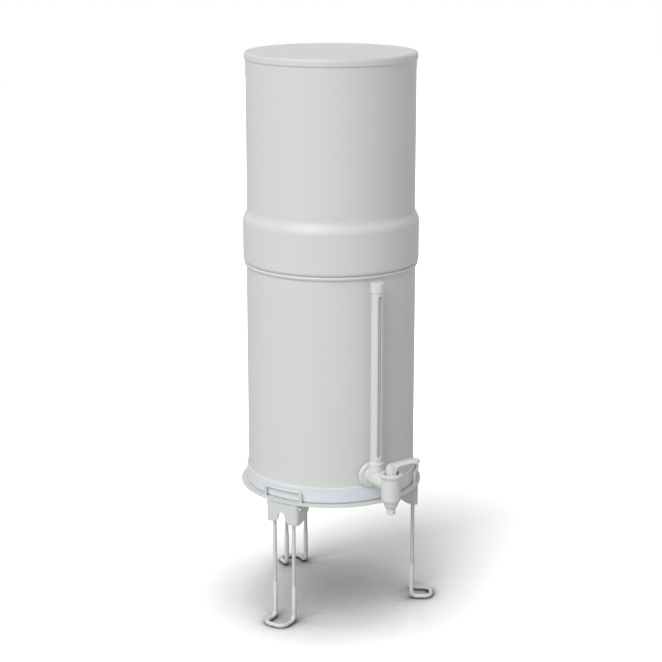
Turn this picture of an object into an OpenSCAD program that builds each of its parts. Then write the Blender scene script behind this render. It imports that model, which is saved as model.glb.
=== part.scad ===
// Gravity water filter on a folding wire stand, with a sight gauge and a lever tap.
// Millimetres, +Z up. The floor is at z = 0 and the origin is under the middle of the whole object.
// The tap points to -Y. Parts round the chambers' axis are drawn on it and moved there last.

/* [Chambers] */
// Outer radius of the lower chamber
lower_r = 111; // [100:0.5:125]
// Height of the lower chamber, from the top of the stand to its rim
lower_h = 300.9; // [260:1:360]
// Height of the upper chamber, from the lower rim to its own rim
upper_h = 260.7; // [255:1:340]
// Sheet thickness of chambers and lid
wall = 1; // [0.8:0.1:1.5]
// How much smaller the upper chamber's radius is than the lower's
upper_inset = 1.4; // [0.5:0.1:3]
// How far the rolled rim stands out from the lower chamber
rim_w = 3; // [2:0.1:5]
// Height of the rolled rim
rim_h = 4.8; // [4.8:0.1:9]
// Radius of the rolled rim's corners
rim_round = 2.3; // [1:0.1:2.4]
// How far the flared band stands out past the lower rim
band_margin = 1.1; // [0.5:0.1:4]
// Height of the straight flared band above the lower rim
band_h = 52.9; // [30:1:80]
// Height of the shoulder above the band
shoulder_h = 17.6; // [12:0.5:30]
// Radius of the band's lower edge
curl_r = 4.5; // [2:0.5:4.5]
// How deep the upper chamber reaches into the lower one
spigot_h = 15; // [10:1:25]
// Gap round the upper chamber inside the lower rim
spigot_gap = 2; // [1:0.5:4]
// Radius of the corner between floor and wall, in both chambers
floor_round = 6; // [3:0.5:9]

/* [Lid] */
// Height of the lid above the upper rim
lid_h = 10.1; // [8:0.5:20]
// How far the lid stands out past the upper chamber
lid_overhang = 1.5; // [1:0.1:3]
// Radius of the lid's top edge
lid_round = 3.5; // [2:0.5:6]
// Radius of the lid's lower edge
lid_hem = 1.5; // [1.2:0.1:2]
// Depth of the skirt that drops inside the upper chamber
lid_skirt_h = 10; // [6:1:20]
// Gap round that skirt
lid_gap = 0.7; // [0.3:0.1:1.5]

/* [Base boot] */
// Height of the soft boot round the lower chamber's base
boot_h = 22; // [20:1:30]
// Wall thickness of the boot
boot_wall = 2.4; // [1.5:0.1:3.5]
// Radius of the boot's lower edge
boot_round = 4; // [3:0.5:5]
// Width of the boot's lip under the chamber
boot_lip = 17; // [10:1:25]

/* [Stand] */
// Height of the stand, from the floor to the top of its ring
stand_h = 170; // [165:1:200]
// Sheet thickness of the ring
ring_t = 2.3; // [1.5:0.1:4]
// Width of the ring
ring_w = 35; // [33:0.5:45]
// From the ring's edge to the middle of the guard hoops' wire
ring_margin = 4; // [3:0.5:8]
// Wire diameter of the guard hoops
hoop_d = 4; // [3:0.5:5]
// Gap between the hoops and the boot
hoop_gap = 1.5; // [0.5:0.1:4]
// Height of the guard hoops above the ring
hoop_h = 17; // [14:0.5:30]
// Half of a guard hoop's width
hoop_half_w = 28; // [20:0.5:40]
// Bend radius of the guard hoops, to the middle of the wire
hoop_bend = 5; // [4:0.5:8]

/* [Leg brackets] */
// Width of a bracket
bracket_w = 44.8; // [42:0.2:60]
// Height of a bracket
bracket_h = 29.2; // [26:0.2:35]
// Sheet thickness of a bracket
bracket_t = 2; // [1.5:0.1:2.5]
// Radius of a bracket's folded corners
bracket_round = 3; // [2.8:0.1:4]
// Half the width of the arch at its top
arch_top_half = 5; // [3:0.5:8]
// Half the width of the arch at its foot
arch_foot_half = 11.6; // [10:0.1:12]
// Height of the arch up to where its round top starts
arch_h = 9.5; // [5:0.5:11]

/* [Legs] */
// Wire diameter of the legs
leg_d = 4.8; // [4:0.1:5]
// Half the distance between a leg's two uprights
leg_half_w = 15; // [12:0.5:15]
// From the ring's edge in to the hinge line
hinge_inset = 9.6; // [9:0.1:14]
// From the ring's underside down to the hinge line
hinge_drop = 7.1; // [6:0.1:9]
// How far a hinge end stands out of the bracket
hinge_end = 5.1; // [3:0.1:8]
// Radius of a hinge end's rounded tip
hinge_tip = 1.2; // [0.5:0.1:1.4]
// Bend radius at the hinge, to the middle of the wire
hinge_bend = 5; // [4:0.5:5]
// Gap between the standing leg and the front of its bracket
stop_gap = 0.3; // [0.1:0.1:0.5]
// How far a foot reaches out from the hinge line
foot_reach = 26.6; // [22:0.2:45]
// Bend radius where the upright turns into the foot
foot_bend = 8; // [6:0.5:10]
// Bend radius of the foot's outer corners
foot_corner = 10; // [6:0.5:11]
// Height of the soft sleeve on the foot
sleeve_h = 50; // [30:1:90]
// Wall thickness of the sleeve
sleeve_t = 0.6; // [0.5:0.1:1.5]
// How much the sleeve's sole is flattened
sole_flat = 0.3; // [0.1:0.1:0.3]

/* [Tap] */
// Height of the tap's centre line above the stand
tap_h = 37.3; // [37:0.5:80]
// Gap between the boot and the flange in front of it
flange_gap = 0.35; // [0.3:0.05:3]
// Diameter of the flange at the wall
flange_d = 34.8; // [32:0.2:45]
// Thickness of the flange
flange_t = 4.2; // [3:0.1:6]
// Radius of the flange's front edge
flange_round = 3; // [1:0.1:3]
// Diameter of the hub on the flange
hub_d = 20; // [19:0.5:26]
// Thickness of the hub on the flange
hub_t = 1.8; // [1.5:0.1:4]
// Thread diameter of the tail through the wall
tail_d = 15.6; // [13:0.1:16]
// Length of the tail behind the flange
tail_l = 22; // [19:0.5:35]
// Diameter of the gaskets at the wall
gasket_d = 25; // [22:0.5:28]
// Thickness of the gasket inside the wall
gasket_t = 1.6; // [1.2:0.1:3]
// Width across the back nut's corners
back_nut_d = 28; // [25:0.5:32]
// Thickness of the back nut
back_nut_t = 7; // [5:0.5:9]
// Bore of the waterway
water_d = 8; // [5:0.5:8]
// Length of the threaded end of the tap's arm
arm_thread_l = 4.5; // [4:0.1:4.6]
// Diameter of the arm's threaded end
arm_thread_d = 12; // [11:0.5:13]
// Diameter of the arm where it leaves the gauge tee
arm_d = 18.6; // [15:0.1:19]
// Diameter of the arm at the barrel's axis
arm_root_d = 15.6; // [14:0.1:19]
// From the gauge's axis to the barrel's axis
tap_reach = 40; // [38:0.5:60]
// Diameter of the barrel
barrel_d = 24.9; // [24.5:0.1:28]
// Diameter of the barrel's flared top
barrel_top_d = 25.4; // [25.2:0.1:29]
// Height of the flare at the barrel's top
barrel_flare_h = 5; // [3:0.1:6]
// Height of the barrel above the tap's centre line
barrel_rise = 10.1; // [9.5:0.1:16]
// Depth of the barrel below the tap's centre line
barrel_drop = 20.1; // [19:0.1:30]
// Height of the bevel at the barrel's foot
barrel_bevel = 4.5; // [2:0.1:6]
// Diameter of the barrel's foot
barrel_foot_d = 20; // [19:0.1:22]
// Bore of the barrel
barrel_bore = 18.8; // [17.5:0.1:19]
// Thickness of the barrel's floor
barrel_floor = 5.6; // [4:0.1:6]

/* [Spout] */
// Thread diameter of the spout in the barrel's floor
spout_plug_d = 16; // [13:0.1:17]
// Height of the spout's cone
spout_cone_h = 7.7; // [5:0.1:15]
// Outer diameter of the nozzle
nozzle_d = 11.8; // [11:0.1:14]
// Length of the nozzle
nozzle_h = 7.9; // [5:0.1:20]
// Bore of the nozzle
nozzle_bore = 8.8; // [7:0.1:9]
// Bore of the valve seat
seat_bore = 6.8; // [5:0.1:7]
// Width of the valve seat's rim
seat_rim = 1.8; // [1:0.1:2]
// Height of the valve seat's rim
seat_h = 1.5; // [1:0.1:2]

/* [Bonnet] */
// Diameter of the bonnet's rim
bonnet_d = 30.4; // [30:0.1:34]
// Height of the bonnet
bonnet_h = 8.1; // [7.6:0.1:12]
// Height up to which the bonnet flares
bonnet_flare_h = 5; // [3:0.1:5]
// Radius of the bonnet's top edge
bonnet_round = 1.8; // [1:0.1:2.5]
// Gap under the lever's foot in its recess
recess_gap = 1; // [0.5:0.1:1.5]
// Recess, from the barrel's axis towards the lever's tip
recess_front = 9.3; // [9.2:0.1:9.6]
// Recess, from the barrel's axis to the back
recess_rear = 8.3; // [8:0.1:9]
// Number of scallops round the rim
scallops = 28; // [12:1:36]
// Radius of a scallop
scallop_r = 0.9; // [0.5:0.1:1.2]
// Depth of a scallop
scallop_depth = 0.35; // [0.2:0.05:0.5]
// Length of the bonnet's plug inside the barrel
plug_h = 5.6; // [4:0.1:8]
// Thickness of the ring between barrel and bonnet
bonnet_seal_t = 0.8; // [0.5:0.1:1.5]

/* [Lever] */
// Direction of the lever, turned from straight ahead towards +X
lever_turn = 60; // [0:1:60]
// From the barrel's axis to the lever's tip
lever_l = 36; // [33:0.5:50]
// Width of the lever's arm
lever_w = 10; // [8:0.1:13]
// Thickness of the lever's arm
lever_t = 4.3; // [4:0.1:6]
// Height of the lever's tip above the bonnet
lever_rise = 19.4; // [18:0.1:26]
// How much lower the arm starts at the lever's hub
lever_dip = 8; // [4:0.1:8]
// Share of the lever's length at which its arm levels out
lever_knee_share = 0.68; // [0.6:0.01:0.75]
// Radius of the rounded top of the lever's hub
lever_heel = 5.5; // [3:0.1:5.5]
// Diameter of the lever's hub
lever_hub_d = 13.5; // [13:0.1:14]
// From the barrel's axis to the pivot
pivot_offset = 4.6; // [4.5:0.1:4.8]
// Depth of the pivot below the bonnet's top
pivot_depth = 3.8; // [3.6:0.1:4]
// Diameter of the pivot pin
pivot_d = 2.4; // [2:0.1:2.6]
// Blind length of the pivot pin's near end, from the middle of the lever
pivot_near = 10.5; // [9:0.1:11]
// Length of its far end, from the middle of the lever
pivot_far = 13.2; // [11:0.1:13.5]
// Lever below its pivot
lever_foot = 3; // [2.6:0.1:3]

/* [Valve] */
// Diameter of the stem
stem_d = 4; // [3.5:0.1:4]
// Diameter of the pin between stem and lever
link_d = 1.8; // [1.5:0.1:1.8]
// Half the length of that pin
link_half_l = 5.4; // [4:0.1:5.5]
// Play of that pin, across
link_play = 0.8; // [0.7:0.1:1]
// Play of that pin, up and down
link_rise_play = 0.2; // [0.15:0.05:0.3]
// Stem above its pin
stem_top = 2; // [1.5:0.1:2]
// Diameter of the seat cup
cup_d = 12; // [11.5:0.1:13]
// Height of the seat cup
cup_h = 4.7; // [4:0.1:6]
// How deep the stem sits in the cup
cup_grip = 3; // [2:0.1:3.5]
// Thickness of the stem's collar
collar_t = 1.5; // [1:0.1:2]
// Wire diameter of the spring
spring_wire = 0.9; // [0.7:0.1:1]
// Outer diameter of the spring
spring_d = 10; // [8:0.1:11]
// Turns of the spring
spring_turns = 4; // [3:1:5]

/* [Sight gauge] */
// From the front of the flange's hub to the gauge's axis
gauge_reach = 10.2; // [10.2:0.1:17]
// Diameter of the tee that carries the gauge
tee_d = 20; // [19.5:0.1:20.2]
// Diameter of the tee's level part
tee_level_d = 19.2; // [18.5:0.1:19.4]
// Height of the tee above the tap's centre line
tee_rise = 10.5; // [10:0.1:16]
// Depth of the tee below the tap's centre line
tee_drop = 9.5; // [8:0.1:9.5]
// Radius of the foot of the tee
tee_round = 8; // [1:0.1:9]
// How far the tee's front face stands past the gauge's axis
tee_front = 10.5; // [10.2:0.1:14]
// Height of the ring nut on the tee
gauge_nut_h = 9.4; // [6:0.1:12]
// Diameter of the ring nut
gauge_nut_d = 19.8; // [19:0.1:22]
// Bevel at the top of the ring nut
gauge_nut_bevel = 1.5; // [0.5:0.1:1.5]
// Diameter of the gauge's housing
housing_d = 15.7; // [15.5:0.1:17]
// Bore of the gauge's housing
housing_bore = 11.8; // [11.6:0.1:12.4]
// Width of the window
window_w = 5.5; // [4:0.1:8]
// From the ring nut up to the window
window_low = 10; // [5:0.1:20]
// From the window up to the cap
window_high = 4.2; // [4:0.1:20]
// Diameter of the clear tube
tube_d = 11; // [10.6:0.1:11]
// Bore of the clear tube
tube_bore = 8.6; // [8.2:0.1:9]
// Depth of the clear tube in the tee
tube_seat = 5.8; // [4:0.1:6]
// Thickness of the rings at the tube's ends
tube_seal_t = 1; // [0.8:0.1:1.5]
// Depth of the clear tube in the cap
tube_cap_seat = 5; // [4:0.1:6]
// Diameter of the float
float_d = 7.8; // [7:0.1:7.9]
// Height of the float
float_h = 5; // [4:0.5:15]
// Height of the float's foot above the tap's centre line
float_rise = 104; // [95:1:120]
// Diameter of the cap
cap_d = 17.8; // [17:0.1:20]
// Height of the cap
cap_h = 12.4; // [10:0.1:16]
// Bevel at the top of the cap
cap_bevel = 1; // [0.5:0.1:2]
// From the lower rim down to the top of the cap
cap_drop = 5.5; // [3:0.5:20]
// Diameter of the vent at the back of the cap
vent_d = 1.6; // [1:0.1:2]

/* [Filter candles] */
// Diameter of a candle
candle_d = 69; // [50:1:70]
// Height of a candle
candle_h = 229; // [120:1:235]
// Radius of a candle's dome
candle_round = 24; // [10:1:24]
// Wall thickness of a candle
candle_wall = 9; // [6:0.5:12]
// Gap between a candle and the chamber's wall
candle_gap = 14; // [12:0.5:20]
// Height of a candle's base
candle_base_h = 13; // [10:0.5:20]
// How deep a candle sits in its base
candle_sink = 6; // [4:0.5:8]
// Wall round the candle's foot
candle_base_wall = 1.8; // [1.5:0.1:3]
// Thread diameter of the stems through the floor
stem_thread_d = 12; // [10:0.5:13]
// Play of those stems in the floor's holes
stem_hole_play = 0.5; // [0.3:0.1:1]
// Length of those stems below the floor
stem_below = 26; // [20:1:35]
// Bore of those stems
stem_bore = 5; // [3:0.5:6]
// Diameter of the washers on the floor
washer_d = 26; // [22:0.5:30]
// Thickness of the washers on the floor
washer_t = 3; // [2:0.5:4]
// Diameter of a wing nut's hub
wing_hub_d = 18; // [16:0.5:22]
// Height of a wing nut's hub
wing_hub_h = 9; // [7:0.5:12]
// Span of a wing nut
wing_span = 40; // [30:1:48]
// Height of a wing
wing_h = 12; // [8:0.5:16]
// Thickness of a wing
wing_t = 3; // [2:0.5:4]
// Diameter of the blanking plug's head
plug_head_d = 28; // [26:0.5:34]
// Height of the blanking plug's head
plug_head_h = 5; // [3:0.5:8]
// Length of the blanking plug below the floor
plug_below = 16; // [12:0.5:25]
// Width across the corners of the plug's nut
plug_nut_d = 22; // [18:0.5:26]
// Thickness of the plug's nut
plug_nut_t = 8; // [5:0.5:10]

/* [Hidden] */
$fn = 96;

// Gap of a shaft that turns in a bore, and of what is pushed or screwed together
turn_gap = 0.1;
fit_gap = 0.05;
// How far cuts run past the faces that they cut
over = 1;
// Steps in a rounded outline, in a small bend and in a turn of the spring
arc_steps = 10;
bend_steps = 5;
turn_steps = 14;

// Heights and radii that several pieces share
ring_under_z = stand_h - ring_t;
boot_r = lower_r + fit_gap + boot_wall;
hoop_r = boot_r + hoop_gap + hoop_d / 2;
ring_r = hoop_r + ring_margin;
lower_floor_z = stand_h + boot_wall;
rim_z = stand_h + lower_h;
rim_r = lower_r + rim_w;
upper_r = lower_r - upper_inset;
band_r = rim_r + band_margin;
spigot_r = lower_r - wall - spigot_gap;
upper_floor_z = rim_z - spigot_h;
upper_rim_z = rim_z + upper_h;
lid_r = upper_r + lid_overhang;

// Legs: the hinge line, the foot and where each leg stands round the ring
hinge_r = ring_r - hinge_inset;
hinge_z = ring_under_z - hinge_drop;
sleeve_r = leg_d / 2 + sleeve_t;
foot_z = sleeve_r - sole_flat;
foot_r = hinge_r + foot_reach;
plate_r = hinge_r + leg_d / 2 + stop_gap + bracket_t;
front_left_angle = -150;
front_right_angle = -30;
rear_angle = 90;
leg_angles = [front_left_angle, front_right_angle, rear_angle];

// Tap and gauge, from the chamber's axis out
tap_z = stand_h + tap_h;
flange_back = boot_r + flange_gap;
flange_front = flange_back + flange_t + hub_t;
gauge_r = flange_front + gauge_reach;
tap_r = gauge_r + tap_reach;
tee_face = gauge_r + tee_front;

// Barrel, bonnet and lever, up and down from the tap's centre line
bonnet_foot_z = barrel_rise + bonnet_seal_t;
bonnet_top_z = bonnet_foot_z + bonnet_h;
plug_z = bonnet_foot_z - plug_h;
pivot_z = bonnet_top_z - pivot_depth;
lever_foot_z = pivot_z - lever_foot;
spout_plug_z = barrel_floor - barrel_drop;
seat_z = spout_plug_z + seat_h;
collar_z = seat_z + cup_h;
nozzle_z = -barrel_drop - spout_cone_h;
nozzle_end_z = nozzle_z - nozzle_h;

// Gauge, up from the floor
nut_z = tap_z + tee_rise;
cap_z = rim_z - cap_drop - cap_h;
window_low_z = nut_z + gauge_nut_h + window_low;
window_high_z = cap_z - window_high;

// Candles: where they stand on the upper chamber's floor
candle_ring_r = upper_r - wall - candle_gap - candle_d / 2;
candle_floor_z = upper_floor_z + wall;
candle_angles = [30, 150];
plug_angle = -90;

// The object's middle is this far in front of the chambers' axis
front_y = tap_r + lever_w / 2 + (lever_l - lever_w / 2) * cos(lever_turn);
axis_y = (front_y - foot_r - sleeve_r) / 2;

powder = "#d9dbd8";
silicone = "#dadde4";
tap_plastic = "#dcdedb";

// Points on an arc about a centre
function arc(centre, r, from, to, steps = arc_steps) = [
    for (i = [0:steps])
        centre + r * [cos(from + (to - from) * i / steps), sin(from + (to - from) * i / steps)]
];

function backwards(points) = [for (i = [len(points) - 1:-1:0]) points[i]];

// Unit vector to the left of the way from p to q
function left(p, q) = [p[1] - q[1], q[0] - p[0]] / norm(q - p);

// A line moved to its left, with mitred corners
function beside(points, gap) = [
    for (i = [0:len(points) - 1])
        let (last = len(points) - 1,
             a = left(points[max(i - 1, 0)], points[max(i, 1)]),
             b = left(points[min(i, last - 1)], points[min(i + 1, last)]))
        points[i] + gap * (a + b) / (1 + a * b)
];

// A sheet turned about the Z axis: its line, and its thickness to the left of that line
module turned_sheet(points, thickness)
    rotate_extrude() polygon(concat(points, backwards(beside(points, thickness))));

module on_axis() translate([0, axis_y, 0]) children();

// Local x runs out from the chambers' axis, z up
module at_angle(angle) on_axis() rotate([0, 0, angle]) children();

// The same for the tap, with z = 0 on its centre line
module at_tap(out = 0) at_angle(-90) translate([out, 0, tap_z]) children();

module along_tap(out) at_tap(out) rotate([0, 90, 0]) children();

// Local x runs along the lever, with the barrel's axis at the origin
module at_lever() at_tap(tap_r) rotate([0, 0, lever_turn]) children();

module ring(r, bore_r, h) difference() {
    cylinder(r = r, h = h);
    translate([0, 0, -over]) cylinder(r = bore_r, h = h + 2 * over);
}

module section(r, bore_r) difference() {
    circle(r);
    if (bore_r > 0) circle(bore_r);
}

// Quarter bend of a round wire or tube, from local +X to +Y
module elbow(bend_r, r, bore_r = 0)
    rotate_extrude(angle = 90) translate([bend_r, 0]) section(r, bore_r);

module run(length, r, bore_r = 0) linear_extrude(length) section(r, bore_r);

// A round wire along a line on a cylinder about Z; the line's points are [way round, height]
module wire_round(line, r, wire_r, sides) {
    last = len(line) - 1;
    way = [for (p = line) p[0] / r * 180 / PI];
    spine = [for (i = [0:last]) [r * cos(way[i]), r * sin(way[i]), line[i][1]]];
    points = [for (i = [0:last], j = [0:sides - 1])
        let (out = [cos(way[i]), sin(way[i]), 0],
             run = spine[min(i + 1, last)] - spine[max(i - 1, 0)],
             across = cross(run, out) / norm(cross(run, out)))
        spine[i] + wire_r * (cos(360 * j / sides) * out + sin(360 * j / sides) * across)];
    faces = concat(
        [[for (j = [sides - 1:-1:0]) j]],
        [[for (j = [0:sides - 1]) last * sides + j]],
        [for (i = [0:last - 1], j = [0:sides - 1], half = [0, 1])
            let (a = i * sides + j, b = i * sides + (j + 1) % sides)
            half == 0 ? [a, b, a + sides] : [b, b + sides, a + sides]]);
    polyhedron(points, faces);
}

// Stand
module stand_ring() color(powder) on_axis()
    translate([0, 0, ring_under_z]) ring(ring_r, ring_r - ring_w, ring_t);

// Each hoop follows the ring in plan and turns down at its ends
module guard_hoops() {
    wire_r = hoop_d / 2;
    bend_z = stand_h + hoop_h - wire_r - hoop_bend;
    bend_way = hoop_half_w - hoop_bend;
    line = concat(
        [[-hoop_half_w, stand_h]],
        arc([-bend_way, bend_z], hoop_bend, 180, 90, bend_steps),
        [for (i = [1:arc_steps - 1]) [bend_way * (2 * i / arc_steps - 1), bend_z + hoop_bend]],
        arc([bend_way, bend_z], hoop_bend, 90, 0, bend_steps),
        [[hoop_half_w, stand_h]]);
    color(powder) for (angle = leg_angles) at_angle(angle) wire_round(line, hoop_r, wire_r, 12);
}

// Folded box under the ring: front with its arch, two sides with a round lower edge, and a top flange
module bracket(angle) {
    half_w = bracket_w / 2;
    back_r = plate_r - bracket_h;
    foot = ring_under_z - bracket_h;
    flare = arch_foot_half - arch_top_half;
    flare_r = (flare * flare + arch_h * arch_h) / (2 * flare);
    color(powder) at_angle(angle) {
        difference() {
            intersection() {
                translate([0, 0, foot]) linear_extrude(bracket_h) difference() {
                    bracket_plan(plate_r, half_w, back_r, bracket_round);
                    bracket_plan(plate_r - bracket_t, half_w - bracket_t, back_r - over,
                        bracket_round - bracket_t);
                }
                translate([plate_r, 0, ring_under_z]) rotate([90, 0, 0])
                    cylinder(r = bracket_h, h = bracket_w + over, center = true);
            }
            translate([plate_r - 2 * bracket_t, 0, foot]) rotate([90, 0, 90])
                linear_extrude(2 * bracket_t + over) {
                    translate([0, arch_h]) circle(arch_top_half);
                    difference() {
                        translate([-arch_foot_half, -over])
                            square([2 * arch_foot_half, arch_h + over]);
                        for (side = [-1, 1])
                            translate([side * (arch_top_half + flare_r), arch_h]) circle(flare_r);
                    }
                }
            translate([hinge_r, 0, hinge_z]) rotate([90, 0, 0])
                cylinder(r = leg_d / 2 + turn_gap, h = bracket_w + over, center = true);
        }
        translate([back_r + bracket_h / 3, -half_w + bracket_t, ring_under_z - bracket_t])
            cube([bracket_h * 2 / 3 - bracket_t, bracket_w - 2 * bracket_t, bracket_t]);
    }
}

// Plan of the folded strip: square at the back, round corners at the front
module bracket_plan(front, half_w, back, corner) {
    translate([back, -half_w]) square([front - corner - back, 2 * half_w]);
    translate([back, -half_w + corner]) square([front - back, 2 * (half_w - corner)]);
    for (side = [-1, 1]) translate([front - corner, side * (half_w - corner)]) circle(corner);
}

module bracket_front_left() bracket(front_left_angle);
module bracket_front_right() bracket(front_right_angle);
module bracket_rear() bracket(rear_angle);

// The foot's loop, from the uprights' height top_z down, as wire or as the sleeve on it
module foot_loop(top_z, r, bore_r = 0) {
    for (side = [0, 1]) mirror([0, side, 0]) {
        translate([hinge_r, leg_half_w, foot_z + foot_bend]) run(top_z - foot_z - foot_bend, r, bore_r);
        translate([hinge_r + foot_bend, leg_half_w, foot_z + foot_bend])
            rotate([0, 180, 0]) rotate([90, 0, 0]) elbow(foot_bend, r, bore_r);
        translate([hinge_r + foot_bend, leg_half_w, foot_z]) rotate([0, 90, 0])
            run(foot_reach - foot_bend - foot_corner, r, bore_r);
        translate([foot_r - foot_corner, leg_half_w - foot_corner, foot_z]) elbow(foot_corner, r, bore_r);
    }
    translate([foot_r, foot_corner - leg_half_w, foot_z]) rotate([-90, 0, 0])
        run(2 * (leg_half_w - foot_corner), r, bore_r);
}

// One bent wire: two hinge ends through the bracket's sides, two uprights and the foot's loop
module leg(angle) {
    wire_r = leg_d / 2;
    bend_y = leg_half_w + hinge_bend;
    end_y = bracket_w / 2 + hinge_end;
    color(powder) at_angle(angle) {
        foot_loop(hinge_z - hinge_bend, wire_r);
        for (side = [0, 1]) mirror([0, side, 0]) {
            translate([hinge_r, bend_y, hinge_z - hinge_bend])
                rotate([0, 0, -90]) rotate([90, 0, 0]) elbow(hinge_bend, wire_r);
            translate([hinge_r, bend_y, hinge_z]) rotate([-90, 0, 0]) rotate_extrude()
                polygon(concat([[0, 0], [wire_r, 0]],
                    arc([wire_r - hinge_tip, end_y - bend_y - hinge_tip], hinge_tip, 0, 90),
                    [[0, end_y - bend_y]]));
        }
    }
}

module leg_front_left() leg(front_left_angle);
module leg_front_right() leg(front_right_angle);
module leg_rear() leg(rear_angle);

module foot_sleeve(angle) color(silicone) at_angle(angle) difference() {
    foot_loop(sleeve_h, sleeve_r, leg_d / 2);
    translate([hinge_r, -bracket_w / 2, -sleeve_r])
        cube([foot_reach + 2 * sleeve_r, bracket_w, sleeve_r]);
}

module foot_sleeve_front_left() foot_sleeve(front_left_angle);
module foot_sleeve_front_right() foot_sleeve(front_right_angle);
module foot_sleeve_rear() foot_sleeve(rear_angle);

// Lower chamber
module lower_chamber() {
    bead_z = rim_z - rim_h;
    outside = concat([[0, lower_floor_z]],
        arc([lower_r - floor_round, lower_floor_z + floor_round], floor_round, -90, 0),
        [[lower_r, bead_z]],
        arc([rim_r - rim_round, bead_z + rim_round], rim_round, -90, 0),
        arc([rim_r - rim_round, rim_z - rim_round], rim_round, 0, 90));
    inside = concat([[lower_r - wall, rim_z]],
        arc([lower_r - floor_round, lower_floor_z + floor_round], floor_round - wall, 0, -90),
        [[0, lower_floor_z + wall]]);
    color(powder) difference() {
        on_axis() rotate_extrude() polygon(concat(outside, inside));
        along_tap(0) cylinder(r = tail_d / 2 + turn_gap, h = lower_r + over);
    }
}

module base_boot() color(silicone) on_axis()
    turned_sheet(concat([[lower_r - boot_lip, stand_h]],
        arc([boot_r - boot_round, stand_h + boot_round], boot_round, -90, 0),
        [[boot_r, stand_h + boot_h]]), boot_wall);

// Tap at the wall
module wall_flange() {
    hub_edge = hub_t / 3;
    color(tap_plastic) along_tap(flange_back) rotate_extrude() polygon(concat(
        [[tail_d / 2 + fit_gap, 0], [flange_d / 2, 0]],
        arc([flange_d / 2 - flange_round, flange_t - flange_round], flange_round, 0, 90),
        [[hub_d / 2, flange_t]],
        arc([hub_d / 2 - hub_edge, flange_t + hub_t - hub_edge], hub_edge, 0, 90),
        [[tail_d / 2 + fit_gap, flange_t + hub_t]]));
}

// The gaskets follow the chamber's round wall on one side and are flat on the other
module tap_outer_gasket() color("#8c8f90") difference() {
    along_tap(lower_r - wall - gasket_t)
        ring(gasket_d / 2, tail_d / 2 + fit_gap, flange_back - lower_r + wall + gasket_t);
    on_axis() cylinder(r = lower_r + fit_gap, h = rim_z, $fn = 4 * $fn);
}

module tap_inner_gasket() color("#8c8f90") intersection() {
    along_tap(lower_r - wall - 2 * gasket_t)
        ring(gasket_d / 2, tail_d / 2 + fit_gap, wall + 2 * gasket_t);
    on_axis() cylinder(r = lower_r - wall - fit_gap, h = rim_z, $fn = 4 * $fn);
}

module tap_back_nut() color(tap_plastic) along_tap(lower_r - wall - 2 * gasket_t - back_nut_t)
    difference() {
        cylinder(r = back_nut_d / 2, h = back_nut_t, $fn = 6);
        translate([0, 0, -over]) cylinder(r = tail_d / 2 + fit_gap, h = back_nut_t + 2 * over);
    }

// Tee: the tail goes through the wall, the tap's arm screws in at the front, the tube stands on top
module gauge_tee() {
    thread_r = arm_thread_d / 2 + fit_gap;
    color(tap_plastic) difference() {
        union() {
            along_tap(flange_back - tail_l) cylinder(d = tail_d, h = gauge_r - flange_back + tail_l);
            along_tap(flange_front) cylinder(d = tee_level_d, h = tee_face - flange_front);
            at_tap(gauge_r) rotate_extrude() polygon(concat([[0, -tee_drop]],
                arc([tee_d / 2 - tee_round, tee_round - tee_drop], tee_round, -90, 0),
                [[tee_d / 2, tee_rise], [0, tee_rise]]));
        }
        along_tap(flange_back - tail_l - over)
            cylinder(d = water_d, h = tee_face - flange_back + tail_l + 2 * over);
        along_tap(tee_face - arm_thread_l) cylinder(r = thread_r, h = arm_thread_l + over);
        at_tap(gauge_r) cylinder(d = water_d, h = tee_rise + over);
        at_tap(gauge_r) translate([0, 0, tee_rise - tube_seat - tube_seal_t])
            cylinder(d = tube_d + 2 * fit_gap, h = tube_seat + tube_seal_t + over);
    }
}

// Sight gauge
module gauge_seal() color("#8c8f90") at_tap(gauge_r)
    translate([0, 0, tee_rise - tube_seat - tube_seal_t]) ring(tube_d / 2, tube_bore / 2, tube_seal_t);

module gauge_nut() color(tap_plastic) at_angle(-90) translate([gauge_r, 0, nut_z]) rotate_extrude()
    polygon([[housing_d / 2 + fit_gap, 0], [gauge_nut_d / 2, 0],
        [gauge_nut_d / 2, gauge_nut_h - gauge_nut_bevel],
        [gauge_nut_d / 2 - gauge_nut_bevel, gauge_nut_h], [housing_d / 2 + fit_gap, gauge_nut_h]]);

module gauge_housing() color(tap_plastic) at_angle(-90) difference() {
    translate([gauge_r, 0, nut_z]) ring(housing_d / 2, housing_bore / 2, cap_z - nut_z);
    for (z = [window_low_z + window_w / 2, window_high_z - window_w / 2])
        translate([gauge_r, 0, z]) rotate([0, 90, 0]) cylinder(d = window_w, h = housing_d);
    translate([gauge_r, -window_w / 2, window_low_z + window_w / 2])
        cube([housing_d, window_w, window_high_z - window_low_z - window_w]);
}

module sight_tube() color("#c9d6d6", 0.5) at_angle(-90) translate([gauge_r, 0, nut_z - tube_seat])
    ring(tube_d / 2, tube_bore / 2, cap_z + tube_cap_seat - nut_z + tube_seat);

module gauge_float() {
    edge = float_h / 8;
    color("#3a3d40") at_tap(gauge_r) translate([0, 0, float_rise]) rotate_extrude() polygon([
        [0, 0], [float_d / 2 - edge, 0], [float_d / 2, edge],
        [float_d / 2, float_h - edge], [float_d / 2 - edge, float_h], [0, float_h]]);
}

module cap_seal() color("#8c8f90") at_angle(-90) translate([gauge_r, 0, cap_z + tube_cap_seat])
    ring(tube_d / 2, tube_bore / 2, tube_seal_t);

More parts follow.
